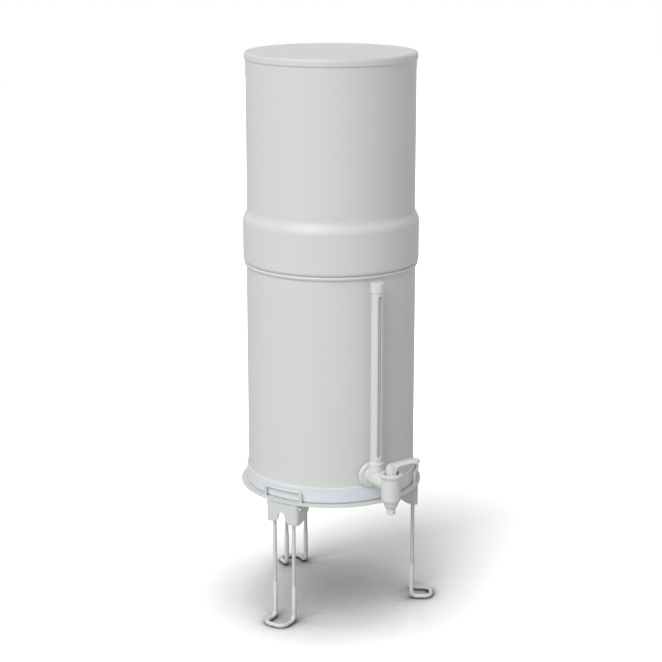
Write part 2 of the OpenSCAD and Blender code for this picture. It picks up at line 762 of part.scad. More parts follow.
// The cap is vented at its back, so that the level in the tube follows the chamber's
module gauge_cap() {
    socket_h = tube_cap_seat + tube_seal_t;
    color(tap_plastic) at_angle(-90) translate([gauge_r, 0, cap_z]) difference() {
        rotate_extrude() polygon([[0, 0], [cap_d / 2, 0], [cap_d / 2, cap_h - cap_bevel],
            [cap_d / 2 - cap_bevel, cap_h], [0, cap_h]]);
        translate([0, 0, -over]) cylinder(d = tube_d + 2 * fit_gap, h = socket_h + over);
        cylinder(d = tube_bore, h = socket_h + vent_d);
        translate([0, 0, socket_h + vent_d / 2]) rotate([0, -90, 0]) cylinder(d = vent_d, h = cap_d);
    }
}

// Tap
module tap_body() color(tap_plastic) difference() {
    union() {
        along_tap(tee_face - arm_thread_l) cylinder(d = arm_thread_d, h = arm_thread_l + over);
        along_tap(tee_face) cylinder(d1 = arm_d, d2 = arm_root_d, h = tap_r - tee_face);
        at_tap(tap_r) rotate_extrude() polygon([
            [0, -barrel_drop], [barrel_foot_d / 2, -barrel_drop],
            [barrel_d / 2, barrel_bevel - barrel_drop], [barrel_d / 2, barrel_rise - barrel_flare_h],
            [barrel_top_d / 2, barrel_rise], [0, barrel_rise]]);
    }
    along_tap(tee_face - arm_thread_l - over)
        cylinder(d = water_d, h = tap_r - tee_face + arm_thread_l + over);
    at_tap(tap_r) translate([0, 0, spout_plug_z])
        cylinder(d = barrel_bore, h = barrel_rise - spout_plug_z + over);
    at_tap(tap_r) translate([0, 0, -barrel_drop - over])
        cylinder(d = spout_plug_d + 2 * fit_gap, h = barrel_floor + 2 * over);
}

// The spout screws into the barrel's floor and carries the valve seat on top
module spout() {
    throat_z = -barrel_drop;
    color(tap_plastic) at_tap(tap_r) rotate_extrude() polygon([
        [seat_bore / 2, seat_z], [seat_bore / 2 + seat_rim, seat_z],
        [seat_bore / 2 + seat_rim, spout_plug_z], [spout_plug_d / 2, spout_plug_z],
        [spout_plug_d / 2, -barrel_drop], [barrel_foot_d / 2, -barrel_drop],
        [nozzle_d / 2, nozzle_z], [nozzle_d / 2, nozzle_end_z],
        [nozzle_bore / 2, nozzle_end_z], [nozzle_bore / 2, throat_z], [seat_bore / 2, throat_z]]);
}

module bonnet_seal() color(tap_plastic) at_tap(tap_r) translate([0, 0, barrel_rise])
    ring(barrel_d / 2, barrel_bore / 2, bonnet_seal_t);

// Flared, scalloped cap that turns on the barrel and carries the lever
module bonnet() {
    flare = (bonnet_d - barrel_top_d) / 2;
    turn = 2 * atan(flare / bonnet_flare_h);
    flare_r = bonnet_flare_h / 2 / sin(turn);
    plug_r = barrel_bore / 2 - turn_gap;
    outside = concat(
        [[0, plug_z], [plug_r, plug_z], [plug_r, bonnet_foot_z]],
        arc([barrel_top_d / 2 + flare_r, bonnet_foot_z], flare_r, 180, 180 - turn, bend_steps),
        arc([bonnet_d / 2 - flare_r, bonnet_foot_z + bonnet_flare_h], flare_r, -turn, 0, bend_steps),
        arc([bonnet_d / 2 - bonnet_round, bonnet_top_z - bonnet_round], bonnet_round, 0, 90, bend_steps),
        [[0, bonnet_top_z]]);
    slot_w = lever_hub_d + 4 * turn_gap;
    scallop_z = bonnet_foot_z + bonnet_flare_h + scallop_r;
    color(tap_plastic) at_lever() difference() {
        rotate_extrude() polygon(outside);
        translate([0, 0, plug_z - over]) cylinder(r = stem_d / 2 + turn_gap, h = bonnet_h + plug_h);
        translate([-recess_rear, -slot_w / 2, lever_foot_z - recess_gap])
            cube([recess_front + recess_rear, slot_w, bonnet_h + over]);
        translate([pivot_offset, -pivot_near, pivot_z]) rotate([-90, 0, 0])
            cylinder(r = pivot_d / 2 + fit_gap, h = bonnet_d);
        for (i = [0:scallops - 1]) rotate([0, 0, (i + 0.5) * 360 / scallops])
            translate([bonnet_d / 2 + scallop_r - scallop_depth, 0, scallop_z])
                cylinder(r = scallop_r, h = bonnet_h);
    }
}

module lever_pivot_pin() color("silver") at_lever() translate([pivot_offset, -pivot_near, pivot_z])
    rotate([-90, 0, 0]) cylinder(d = pivot_d, h = pivot_near + pivot_far);

// Side view of the lever, cut to its plan, with a cavity for the stem
module tap_lever() {
    hub_r = lever_hub_d / 2;
    tip_z = bonnet_top_z + lever_rise;
    heel_z = tip_z - lever_dip;
    knee_x = lever_l * lever_knee_share;
    under_z = tip_z - lever_t - lever_dip * (knee_x - hub_r) / (knee_x + hub_r - lever_heel);
    side_view = concat(
        [[hub_r, lever_foot_z], [hub_r, under_z - lever_t / 2],
         [hub_r + lever_t / 2, under_z + lever_t / 6],
         [knee_x, tip_z - lever_t], [lever_l, tip_z - lever_t], [lever_l, tip_z], [knee_x, tip_z]],
        arc([lever_heel - hub_r, heel_z - lever_heel], lever_heel, 90, 180),
        [[-hub_r, lever_foot_z]]);
    cavity_rear = stem_d / 2 + 1.5 * link_play + 3 * turn_gap;
    cavity_front = pivot_offset - 3 * turn_gap;
    cavity_w = stem_d + 6 * turn_gap;
    color(tap_plastic) at_lever() difference() {
        intersection() {
            rotate([90, 0, 0]) linear_extrude(lever_hub_d + over, center = true) polygon(side_view);
            translate([0, 0, lever_foot_z - over]) linear_extrude(tip_z - lever_foot_z + 2 * over) {
                circle(hub_r);
                translate([0, -lever_w / 2]) square([lever_l - lever_w / 2, lever_w]);
                translate([lever_l - lever_w / 2, 0]) circle(lever_w / 2);
            }
        }
        translate([-cavity_rear, -cavity_w / 2, lever_foot_z - over])
            cube([cavity_rear + cavity_front, cavity_w, lever_foot + 2 * stem_top + over]);
        translate([pivot_offset, 0, pivot_z]) rotate([90, 0, 0])
            cylinder(r = pivot_d / 2 + turn_gap, h = lever_hub_d + over, center = true);
        link_slot();
    }
}

module link_slot() {
    slot_r = link_d / 2 + link_rise_play;
    slot_l = 2 * link_half_l + 2 * link_rise_play;
    translate([0, 0, pivot_z]) rotate([90, 0, 0]) {
        for (x = [-link_play, link_play])
            translate([x, 0, 0]) cylinder(r = slot_r, h = slot_l, center = true);
        translate([-link_play, -slot_r, -slot_l / 2]) cube([2 * link_play, 2 * slot_r, slot_l]);
    }
}

// Valve
module tap_stem() color("silver") at_lever() difference() {
    union() {
        translate([0, 0, collar_z - cup_grip])
            cylinder(d = stem_d, h = pivot_z + stem_top - collar_z + cup_grip);
        translate([0, 0, collar_z]) cylinder(d = cup_d, h = collar_t);
    }
    translate([0, 0, pivot_z]) rotate([90, 0, 0])
        cylinder(r = link_d / 2 + fit_gap, h = stem_d + over, center = true);
}

module link_pin() color("silver") at_lever() translate([0, 0, pivot_z]) rotate([90, 0, 0])
    cylinder(d = link_d, h = 2 * link_half_l, center = true);

module seat_cup() color("#8c8f90") at_lever() translate([0, 0, seat_z]) difference() {
    cylinder(d = cup_d, h = cup_h);
    translate([0, 0, cup_h - cup_grip]) cylinder(r = stem_d / 2 + fit_gap, h = cup_grip + over);
}

// Helix between the stem's collar and the bonnet's plug
module tap_spring() {
    wire_r = spring_wire / 2;
    coil_r = spring_d / 2 - wire_r;
    low = collar_z + collar_t + wire_r;
    rise = plug_z - wire_r - low;
    steps = turn_steps * spring_turns;
    line = [for (i = [0:steps]) [2 * PI * coil_r * spring_turns * i / steps, low + rise * i / steps]];
    color("silver") at_lever() wire_round(line, coil_r, wire_r, 6);
}

// Upper chamber: one sheet from the floor, over the lower rim, up the band and in over the shoulder
module upper_chamber() {
    step = band_r - upper_r;
    turn = 2 * atan(step / shoulder_h);
    shoulder_r = shoulder_h / 2 / sin(turn);
    shoulder_z = rim_z + band_h;
    outside = concat([[0, upper_floor_z]],
        arc([spigot_r - floor_round, upper_floor_z + floor_round], floor_round, -90, 0),
        [[spigot_r, rim_z]],
        arc([band_r - curl_r, rim_z + curl_r], curl_r, -90, 0),
        arc([band_r - shoulder_r, shoulder_z], shoulder_r, 0, turn),
        arc([upper_r + shoulder_r, shoulder_z + shoulder_h], shoulder_r, 180 + turn, 180),
        [[upper_r, upper_rim_z]]);
    color(powder) difference() {
        on_axis() turned_sheet(outside, wall);
        for (angle = concat(candle_angles, [plug_angle]))
            at_angle(angle) translate([candle_ring_r, 0, upper_floor_z - over])
                cylinder(r = stem_thread_d / 2 + stem_hole_play, h = wall + 2 * over);
    }
}

module at_candles() for (angle = candle_angles)
    at_angle(angle) translate([candle_ring_r, 0, candle_floor_z]) children();

module at_plug() at_angle(plug_angle) translate([candle_ring_r, 0, candle_floor_z]) children();

// Hollow ceramic domes
module ceramic_candles() {
    r = candle_d / 2;
    core_r = r - candle_wall;
    core_round = candle_round - candle_wall;
    foot = washer_t + candle_base_h - candle_sink;
    color("#efe9dc") at_candles() translate([0, 0, foot]) rotate_extrude() polygon(concat(
        [[core_r, 0], [r, 0]],
        arc([r - candle_round, candle_h - candle_round], candle_round, 0, 90),
        [[0, candle_h], [0, candle_h - candle_wall]],
        arc([core_r - core_round, candle_h - candle_wall - core_round], core_round, 90, 0)));
}

module candle_bases() {
    r = candle_d / 2 + fit_gap;
    color("#e6e8ea") at_candles() difference() {
        union() {
            translate([0, 0, washer_t]) cylinder(r = r + candle_base_wall, h = candle_base_h);
            translate([0, 0, -wall - stem_below])
                cylinder(d = stem_thread_d, h = wall + stem_below + washer_t + over);
        }
        translate([0, 0, washer_t + candle_base_h - candle_sink]) cylinder(r = r, h = candle_sink + over);
        translate([0, 0, -wall - stem_below - over])
            cylinder(d = stem_bore, h = stem_below + wall + washer_t + candle_base_h + 2 * over);
    }
}

module candle_washers() color("#8c8f90") at_candles()
    ring(washer_d / 2, stem_thread_d / 2 + fit_gap, washer_t);

module candle_wing_nuts() color("#e6e8ea") at_candles() translate([0, 0, -wall - wing_hub_h])
    difference() {
        union() {
            cylinder(d = wing_hub_d, h = wing_hub_h);
            translate([-wing_span / 2, -wing_t / 2, wing_hub_h - wing_h])
                cube([wing_span, wing_t, wing_h - wing_t]);
        }
        translate([0, 0, -wing_h]) cylinder(r = stem_thread_d / 2 + fit_gap, h = wing_h + wing_hub_h + over);
    }

// The third hole is closed
module blanking_plug() color("#e6e8ea") at_plug() {
    translate([0, 0, washer_t]) cylinder(d = plug_head_d, h = plug_head_h);
    translate([0, 0, -wall - plug_below])
        cylinder(d = stem_thread_d, h = wall + plug_below + washer_t + over);
}

module plug_washer() color("#8c8f90") at_plug()
    ring(washer_d / 2, stem_thread_d / 2 + fit_gap, washer_t);

module plug_nut() color("#e6e8ea") at_plug() translate([0, 0, -wall - plug_nut_t]) difference() {
    cylinder(d = plug_nut_d, h = plug_nut_t, $fn = 6);
    translate([0, 0, -over]) cylinder(r = stem_thread_d / 2 + fit_gap, h = plug_nut_t + 2 * over);
}

// Lid: flat top, short side, a step that rests on the rim and a skirt inside it
module lid() {
    top = upper_rim_z + lid_h;
    skirt_r = upper_r - wall - lid_gap;
    color(powder) on_axis() turned_sheet(concat([[0, top]],
        arc([lid_r - lid_round, top - lid_round], lid_round, 90, 0),
        arc([lid_r - lid_hem, upper_rim_z + lid_hem], lid_hem, 0, -90),
        [[skirt_r, upper_rim_z], [skirt_r, upper_rim_z - lid_skirt_h]]), -wall);
}

stand_ring();
guard_hoops();
bracket_front_left();
bracket_front_right();
bracket_rear();
leg_front_left();
leg_front_right();
leg_rear();
foot_sleeve_front_left();
foot_sleeve_front_right();
foot_sleeve_rear();
lower_chamber();
base_boot();
wall_flange();
tap_outer_gasket();
tap_inner_gasket();
tap_back_nut();
gauge_tee();
gauge_seal();
gauge_nut();
gauge_housing();
sight_tube();
gauge_float();
cap_seal();
gauge_cap();
tap_body();
spout();
bonnet_seal();
bonnet();
lever_pivot_pin();
tap_lever();
tap_stem();
link_pin();
seat_cup();
tap_spring();
upper_chamber();
ceramic_candles();
candle_bases();
candle_washers();
candle_wing_nuts();
blanking_plug();
plug_washer();
plug_nut();
lid();
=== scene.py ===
import math

import bmesh
import bpy
from mathutils import Matrix, Vector


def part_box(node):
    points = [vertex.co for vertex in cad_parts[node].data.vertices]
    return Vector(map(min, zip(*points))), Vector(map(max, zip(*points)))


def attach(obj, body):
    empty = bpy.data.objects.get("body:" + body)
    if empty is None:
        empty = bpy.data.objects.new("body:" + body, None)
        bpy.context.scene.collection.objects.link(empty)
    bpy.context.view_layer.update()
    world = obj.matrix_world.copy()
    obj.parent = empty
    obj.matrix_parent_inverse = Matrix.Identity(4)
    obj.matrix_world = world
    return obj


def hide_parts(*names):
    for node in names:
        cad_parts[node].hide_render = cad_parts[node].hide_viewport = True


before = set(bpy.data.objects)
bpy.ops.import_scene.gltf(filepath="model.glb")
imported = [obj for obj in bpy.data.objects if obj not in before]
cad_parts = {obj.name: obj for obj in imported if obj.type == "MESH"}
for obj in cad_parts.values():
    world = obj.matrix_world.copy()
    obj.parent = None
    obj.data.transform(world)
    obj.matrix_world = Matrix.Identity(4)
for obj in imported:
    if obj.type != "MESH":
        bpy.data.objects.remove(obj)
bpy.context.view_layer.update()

# Stand ring
# A flat ring of sheet steel, cut out, its edges broken and powder-coated off-white. The brackets are welded
# under it, and the boot of the lower chamber stands on it. Sizes are in millimetres in every section.
ring_under, ring_top = 167.7, 170.0
ring_r, ring_hole_r = 120.95, 85.95
ring_edge = 0.6
axis = Matrix.Translation((0, (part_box("stand_ring")[0].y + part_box("stand_ring")[1].y) * 500, 0))


def linear(code):
    """An sRGB hex colour as linear red, green, blue and alpha."""
    shares = [int(code[i:i + 2], 16) / 255 for i in (1, 3, 5)]
    return [s / 12.92 if s <= 0.04045 else ((s + 0.055) / 1.055) ** 2.4 for s in shares] + [1]


def add(tree, kind, settings=None, inputs=None):
    """Adds a node with its settings, and sets or links its inputs."""
    made = tree.nodes.new(kind)
    for name, value in (settings or {}).items():
        setattr(made, name, value)
    for name, value in (inputs or {}).items():
        if isinstance(value, bpy.types.NodeSocket):
            tree.links.new(value, made.inputs[name])
        else:
            made.inputs[name].default_value = value
    return made


def finish_of(name, colour, second, roughness, ior, patch, grain, height):
    """A surface of two close colours in patches, with a fine relief; patch, grain and height are in millimetres."""
    made = bpy.data.materials.new(name)
    made.use_nodes = True
    tree = made.node_tree
    shader = tree.nodes["Principled BSDF"]
    place = add(tree, "ShaderNodeTexCoord").outputs["Object"]
    clouds = add(tree, "ShaderNodeTexNoise", None, {"Vector": place, "Scale": 1000 / patch, "Detail": 3.0})
    tint = add(tree, "ShaderNodeMix", {"data_type": "RGBA"}, {0: clouds.outputs["Fac"]})
    tint.inputs[6].default_value, tint.inputs[7].default_value = linear(colour), linear(second)
    gloss = add(tree, "ShaderNodeMapRange", None, {
        "Value": clouds.outputs["Fac"], "From Min": 0.3, "From Max": 0.7,
        "To Min": roughness - 0.03, "To Max": roughness + 0.03})
    relief = add(tree, "ShaderNodeTexNoise", None, {"Vector": place, "Scale": 1000 / grain, "Detail": 2.0})
    bump = add(tree, "ShaderNodeBump", None, {
        "Height": relief.outputs["Fac"], "Distance": height / 1000, "Strength": 1.0})
    tree.links.new(tint.outputs[2], shader.inputs["Base Color"])
    tree.links.new(gloss.outputs["Result"], shader.inputs["Roughness"])
    tree.links.new(bump.outputs["Normal"], shader.inputs["Normal"])
    shader.inputs["IOR"].default_value = ior
    return made


def rounded(corners):
    """A closed outline of (x, y, radius) corners as points; close by each arc a point keeps the flat flat."""
    made = []
    for i, (x, y, radius) in enumerate(corners):
        here = Vector((x, y))
        if radius == 0:
            made.append(here)
            continue
        before = Vector(corners[i - 1][:2]) - here
        after = Vector(corners[(i + 1) % len(corners)][:2]) - here
        back, on = before.normalized(), after.normalized()
        half = back.angle(on) / 2
        reach = radius / math.tan(half)
        centre = here + (back + on).normalized() * radius / math.sin(half)
        start, end = here + back * reach - centre, here + on * reach - centre
        turn = math.pi - 2 * half
        steps = max(2, round(math.degrees(turn) / 12))
        if before.length > 2.2 * reach:
            made.append(here + back * (reach + 0.15 * radius))
        for k in range(steps + 1):
            t = k / steps
            made.append(centre + (start * math.sin((1 - t) * turn) + end * math.sin(t * turn)) / math.sin(turn))
        if after.length > 2.2 * reach:
            made.append(here + on * (reach + 0.15 * radius))
    return made


def turned(outline, sides=192, place=axis):
    """A closed outline of (radius, height) points turned about Z and put in its place."""
    shape = bmesh.new()
    rings = []
    for x, z in outline:
        count = 1 if x < 1e-6 else sides
        rings.append([shape.verts.new((x * math.cos(2 * math.pi * k / sides), x * math.sin(2 * math.pi * k / sides), z))
                      for k in range(count)])
    for low, high in zip(rings, rings[1:] + rings[:1]):
        if len(low) == len(high) == 1:
            continue
        for k in range(sides):
            n = (k + 1) % sides
            corners = [low[k % len(low)], low[n % len(low)], high[n % len(high)], high[k % len(high)]]
            shape.faces.new(list(dict.fromkeys(corners)))
    bmesh.ops.recalc_face_normals(shape, faces=shape.faces)
    shape.transform(place)
    return shape


def new_object(name, shape, material):
    """An object of a shape given in millimetres, which is used up."""
    mesh = bpy.data.meshes.new(name)
    shape.transform(Matrix.Scale(0.001, 4))
    shape.to_mesh(mesh)
    shape.free()
    mesh.materials.append(material)
    made = bpy.data.objects.new(name, mesh)
    bpy.context.scene.collection.objects.link(made)
    return made


def settle(made, body, slot, *nodes, crease=35):
    """Applies a piece's modifiers, smooths it, sets the body that it rides, and hides the imported nodes that it stands
    for.
    """
    if made.modifiers:
        bpy.context.view_layer.update()
        finished = bpy.data.meshes.new_from_object(made.evaluated_get(bpy.context.evaluated_depsgraph_get()))
        made.modifiers.clear()
        made.data = finished
    made.data.shade_smooth()
    made.data.set_sharp_from_angle(angle=math.radians(crease))
    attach(made, body)
    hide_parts(*nodes)
    return made


# Off-white polyester powder coat, sprayed and baked: a satin film with a faint orange peel. Its ripples are
# about 2 mm apart and a few thousandths high.
powder_coat = finish_of("powder_coated_steel", "#dcdedb", "#d9dbd8", 0.42, 1.5, 70, 2.2, 0.006)

stand_ring = new_object("stand_ring_plate", turned(rounded([
    (ring_hole_r, ring_under, ring_edge), (ring_r, ring_under, ring_edge),
    (ring_r, ring_top, ring_edge), (ring_hole_r, ring_top, ring_edge)])), powder_coat)
settle(stand_ring, "stand", "powder_coat", "stand_ring")

# Guard hoops
# Three low hoops of round wire, bent to the ring's curve and welded to its top, which keep the chamber from
# sliding off. A small weld bead runs round each foot.
hoop_r, hoop_wire_r = 116.95, 2.0
hoop_half_width, hoop_top, hoop_bend = 28.0, 185.0, 5.0
hoop_steps = 9
bead_r, bead_h = 3.0, 1.1
leg_angles = {"front_left": -150, "front_right": -30, "rear": 90}


def bent_wire_tree():
    """A tree that turns paths with a bend radius at each corner into round wire or tube."""
    tree = bpy.data.node_groups.new("bent_wire", "GeometryNodeTree")
    for name, kind in (("Path", "Geometry"), ("Wire radius", "Float"), ("Sides", "Int"),
                       ("Floor", "Float"), ("Finish", "Material")):
        tree.interface.new_socket(name, in_out="INPUT", socket_type="NodeSocket" + kind)
    tree.interface.new_socket("Wire", in_out="OUTPUT", socket_type="NodeSocketGeometry")
    given = add(tree, "NodeGroupInput").outputs
    bend = add(tree, "GeometryNodeInputNamedAttribute", {"data_type": "FLOAT"}, {"Name": "bend"})
    girth = add(tree, "GeometryNodeInputNamedAttribute", {"data_type": "FLOAT"}, {"Name": "girth"})
    line = add(tree, "GeometryNodeMeshToCurve", None, {"Mesh": given["Path"]})
    bent = add(tree, "GeometryNodeFilletCurve", {"mode": "POLY"}, {
        "Curve": line.outputs[0], "Count": 9, "Radius": bend.outputs["Attribute"]})
    outline = add(tree, "GeometryNodeCurvePrimitiveCircle", None, {
        "Resolution": given["Sides"], "Radius": given["Wire radius"]})
    wire = add(tree, "GeometryNodeCurveToMesh", None, {
        "Curve": bent.outputs[0], "Profile Curve": outline.outputs[0],
        "Scale": girth.outputs["Attribute"], "Fill Caps": True})
    parts = add(tree, "ShaderNodeSeparateXYZ", None, {"Vector": add(tree, "GeometryNodeInputPosition").outputs[0]})
    height = add(tree, "ShaderNodeMath", {"operation": "MAXIMUM"}, {0: parts.outputs["Z"], 1: given["Floor"]})
    point = add(tree, "ShaderNodeCombineXYZ", None, {
        "X": parts.outputs["X"], "Y": parts.outputs["Y"], "Z": height.outputs[0]})
    flat = add(tree, "GeometryNodeSetPosition", None, {"Geometry": wire.outputs[0], "Position": point.outputs[0]})
    whole = add(tree, "GeometryNodeRealizeInstances", None, {"Geometry": flat.outputs[0]})
    dressed = add(tree, "GeometryNodeSetMaterial", None, {"Geometry": whole.outputs[0], "Material": given["Finish"]})
    add(tree, "NodeGroupOutput", None, {"Wire": dressed.outputs[0]})
    return tree


bent_wire = bent_wire_tree()


def grow(made, tree, **sizes):
    """Puts a tree on an object and sets the tree's named inputs, by identifier."""
    modifier = made.modifiers.new(tree.name, "NODES")
    modifier.node_group = tree
    for item in tree.interface.items_tree:
        key = item.name.replace(" ", "_").lower()
        if item.in_out == "INPUT" and key in sizes:
            modifier[item.identifier] = sizes[key]
    return made


def wire_piece(name, paths, place, wire_r, sides, material):
    """Wires along paths of (point, bend radius, girth) in millimetres."""
    points, edges, bends, girths = [], [], [], []
    for path in paths:
        edges += [(len(points) + k, len(points) + k + 1) for k in range(len(path) - 1)]
        points += [Matrix.Scale(0.001, 4) @ place @ Vector(p[0]) for p in path]
        bends += [p[1] / 1000 for p in path]
        girths += [p[2] for p in path]
    mesh = bpy.data.meshes.new(name)
    mesh.from_pydata(points, edges, [])
    mesh.attributes.new("bend", "FLOAT", "POINT").data.foreach_set("value", bends)
    mesh.attributes.new("girth", "FLOAT", "POINT").data.foreach_set("value", girths)
    made = bpy.data.objects.new(name, mesh)
    bpy.context.scene.collection.objects.link(made)
    return grow(made, bent_wire, wire_radius=wire_r / 1000, sides=sides, floor=0.0, finish=material)


hoop_paths, beads = [], bmesh.new()
for around in leg_angles.values():
    turn_to = Matrix.Rotation(math.radians(around), 4, "Z")
    swing = hoop_half_width / hoop_r
    ends = [turn_to @ Vector((hoop_r * math.cos(a), hoop_r * math.sin(a), ring_top)) for a in (-swing, swing)]
    over_the_top = []
    for k in range(hoop_steps + 1):
        a = swing * (2 * k / hoop_steps - 1)
        corner = k in (0, hoop_steps)
        over_the_top.append((turn_to @ Vector((hoop_r * math.cos(a), hoop_r * math.sin(a), hoop_top)),
                             hoop_bend if corner else 0, 1))
    hoop_paths.append([(ends[0], 0, 1)] + over_the_top + [(ends[1], 0, 1)])
    for end in ends:
        bead = turned([(hoop_wire_r - 0.2, 0.02), (bead_r, 0.02), (bead_r - 0.15, 0.35), (bead_r - 0.6, 0.8),
                       (hoop_wire_r + 0.05, bead_h), (hoop_wire_r - 0.2, bead_h)], 24,
                      axis @ Matrix.Translation(end))
        bead_mesh = bpy.data.meshes.new("bead")
        bead.to_mesh(bead_mesh)
        beads.from_mesh(bead_mesh)
        bead.free()
guard_hoops = wire_piece("guard_hoop_wires", hoop_paths, axis, hoop_wire_r, 20, powder_coat)
settle(guard_hoops, "stand", "powder_coat", "guard_hoops")
settle(new_object("hoop_weld_beads", beads, powder_coat), "stand", "powder_coat")

# Leg brackets
# A folded strip of 2 mm steel under the ring for each leg: a front plate with an arch in its foot, and two
# side plates with a quarter-round edge, drilled for the leg. Punched, folded, welded to the ring and coated.
bracket_w, bracket_h, bracket_t = 44.8, 29.2, 2.0
bracket_corner = 3.0
hinge_r, hinge_z = 111.35, 160.6
plate_r = 116.05
arch_top_half, arch_foot_half, arch_h = 5.0, 11.6, 9.5
pin_hole_r = 2.75
tab_r, tab_in = 9.0, 15.0
side_steps, arch_columns, plate_rows = 14, 44, 8
arch_flare_r = ((arch_foot_half - arch_top_half) ** 2 + arch_h ** 2) / 2 / (arch_foot_half - arch_top_half)


def arch_height(y):
    """Height of the arch over the bracket's foot, at y from its middle."""
    if y <= arch_top_half:
        return arch_h + math.sqrt(arch_top_half ** 2 - y ** 2)
    if y <= arch_foot_half:
        return arch_h - math.sqrt(max(arch_flare_r ** 2 - (arch_top_half + arch_flare_r - y) ** 2, 0))
    return 0


def bracket_shape(place):
    """The folded strip as columns from the ring down to its lower edge, before it gets its thickness."""
    half = bracket_w / 2
    back = plate_r - bracket_h
    columns = []
    for k in range(side_steps + 1):
        x = plate_r - bracket_corner - (bracket_h - bracket_corner - 0.3) * math.cos(k / side_steps * math.pi / 2)
        columns.append((x, half, bracket_h - math.sqrt(bracket_h ** 2 - (plate_r - x) ** 2)))
    for k in range(1, 6):
        a = math.pi / 2 * (1 - k / 6)
        x = plate_r - bracket_corner + bracket_corner * math.cos(a)
        columns.append((x, half - bracket_corner + bracket_corner * math.sin(a),
                        bracket_h - math.sqrt(bracket_h ** 2 - (plate_r - x) ** 2)))
    across = [half - bracket_corner, (half - bracket_corner + arch_foot_half) / 2, arch_foot_half + 0.2]
    for k in range(arch_columns // 2 + 1):
        a = k / (arch_columns // 2) * math.pi
        middle = (arch_foot_half + arch_top_half) / 2
        across.append(middle + (arch_foot_half - middle) * math.cos(a))
    across += [arch_top_half * math.cos(a / 10 * math.pi / 2) for a in range(1, 10)] + [0]
    front = [(plate_r, y, arch_height(y)) for y in across]
    columns += front
    columns += [(x, -y, low) for x, y, low in reversed(columns[:-1])]
    shape = bmesh.new()
    grid = []
    for x, y, low in columns:
        foot = ring_under - bracket_h + low
        grid.append([shape.verts.new((x, y, foot + (ring_under - foot) * k / plate_rows))
                     for k in range(plate_rows + 1)])
    for left, right in zip(grid, grid[1:]):
        for k in range(plate_rows):
            shape.faces.new((left[k], right[k], right[k + 1], left[k + 1]))
    bmesh.ops.remove_doubles(shape, verts=shape.verts, dist=0.01)
    shape.transform(place)
    return shape


def cut(made, shape, operation="DIFFERENCE"):
    """Cuts a piece with a closed shape, or keeps what both share."""
    tool = new_object("cutter", shape, made.data.materials[0])
    modifier = made.modifiers.new("cut", "BOOLEAN")
    modifier.operation, modifier.object, modifier.solver = operation, tool, "EXACT"
    bpy.context.view_layer.update()
    finished = bpy.data.meshes.new_from_object(made.evaluated_get(bpy.context.evaluated_depsgraph_get()))
    made.modifiers.clear()
    made.data = finished
    bpy.data.objects.remove(tool)
    return made


for name, around in leg_angles.items():
    place = axis @ Matrix.Rotation(math.radians(around), 4, "Z")
    bracket = new_object("bracket_plate_" + name, bracket_shape(place), powder_coat)
    wall = bracket.modifiers.new("sheet", "SOLIDIFY")
    wall.thickness, wall.offset = bracket_t / 1000, -1
    wall.use_even_offset = True
    cut(bracket, turned(rounded([
        (0, -bracket_w, 0), (pin_hole_r, -bracket_w, 0), (pin_hole_r, bracket_w, 0), (0, bracket_w, 0)]),
        40, place @ Matrix.Translation((hinge_r, 0, hinge_z)) @ Matrix.Rotation(math.pi / 2, 4, "X")))
    edges = bracket.modifiers.new("edges", "BEVEL")
    edges.width, edges.segments, edges.limit_method, edges.angle_limit = 0.0003, 2, "ANGLE", math.radians(50)
    settle(bracket, "stand", "powder_coat", "bracket_" + name)
    tab = new_object("bracket_tab_" + name, turned(rounded([
        (0, ring_under - bracket_t, 0), (tab_r, ring_under - bracket_t, 0.4), (tab_r, ring_under, 0.2),
        (0, ring_under, 0)]), 48,
        place @ Matrix.Translation((plate_r - tab_in, 0, 0)) @ Matrix.Diagonal((1.1, 2.2, 1, 1))), powder_coat)
    settle(tab, "stand", "powder_coat")

# Legs
# Each leg is one 4.8 mm steel wire: a hinge end, an upright, the foot's loop, the other upright and the other
# end. Both ends spring into the bracket's holes, and their tips are rounded.
leg_wire_r, leg_half_w = 2.4, 15.0
hinge_bend, foot_bend, foot_corner = 5.0, 8.0, 10.0
foot_r, foot_z = 137.95, 2.7
hinge_tip_y = 27.5


def leg_path(top):
    """The leg's line from one side's top to the other's; top holds the points that end it, from the end on."""
    half = [(Vector(p), bend, girth) for p, bend, girth in top] + [
        (Vector((hinge_r, leg_half_w, foot_z)), foot_bend, 1), (Vector((foot_r, leg_half_w, foot_z)), foot_corner, 1)]
    return half + [(Vector((p.x, -p.y, p.z)), bend, girth) for p, bend, girth in reversed(half)]


tip_girths = ((0, 0.45), (0.15, 0.68), (0.5, 0.9), (1.2, 1))
leg_top = [((hinge_r, hinge_tip_y - inset, hinge_z), 0, girth) for inset, girth in tip_girths]
leg_top.append(((hinge_r, leg_half_w, hinge_z), hinge_bend, 1))
for name, around in leg_angles.items():
    place = axis @ Matrix.Rotation(math.radians(around), 4, "Z")
    leg = wire_piece("leg_wire_" + name, [leg_path(leg_top)], place, leg_wire_r, 28, powder_coat)
    settle(leg, name + "_leg", "powder_coat", "leg_" + name)

# Foot sleeves
# Pale silicone tube pushed over each foot's loop and up its uprights, so that the wire does not scratch the
# table. Soft and matte, and pressed flat where it stands.
sleeve_r, sleeve_top = 3.0, 50.0
silicone = finish_of("translucent_silicone", "#e4e8ed", "#e0e4ea", 0.5, 1.41, 40, 0.9, 0.008)
lip_girths = ((0, 0.81), (0.15, 0.94), (0.5, 1))
sleeve_ends = [((hinge_r, leg_half_w, sleeve_top - inset), 0, girth) for inset, girth in lip_girths]
for name, around in leg_angles.items():
    place = axis @ Matrix.Rotation(math.radians(around), 4, "Z")
    sleeve = wire_piece("foot_sleeve_tube_" + name, [leg_path(sleeve_ends)], place, sleeve_r, 28, silicone)
    settle(sleeve, name + "_leg", "pale_silicone", "foot_sleeve_" + name)

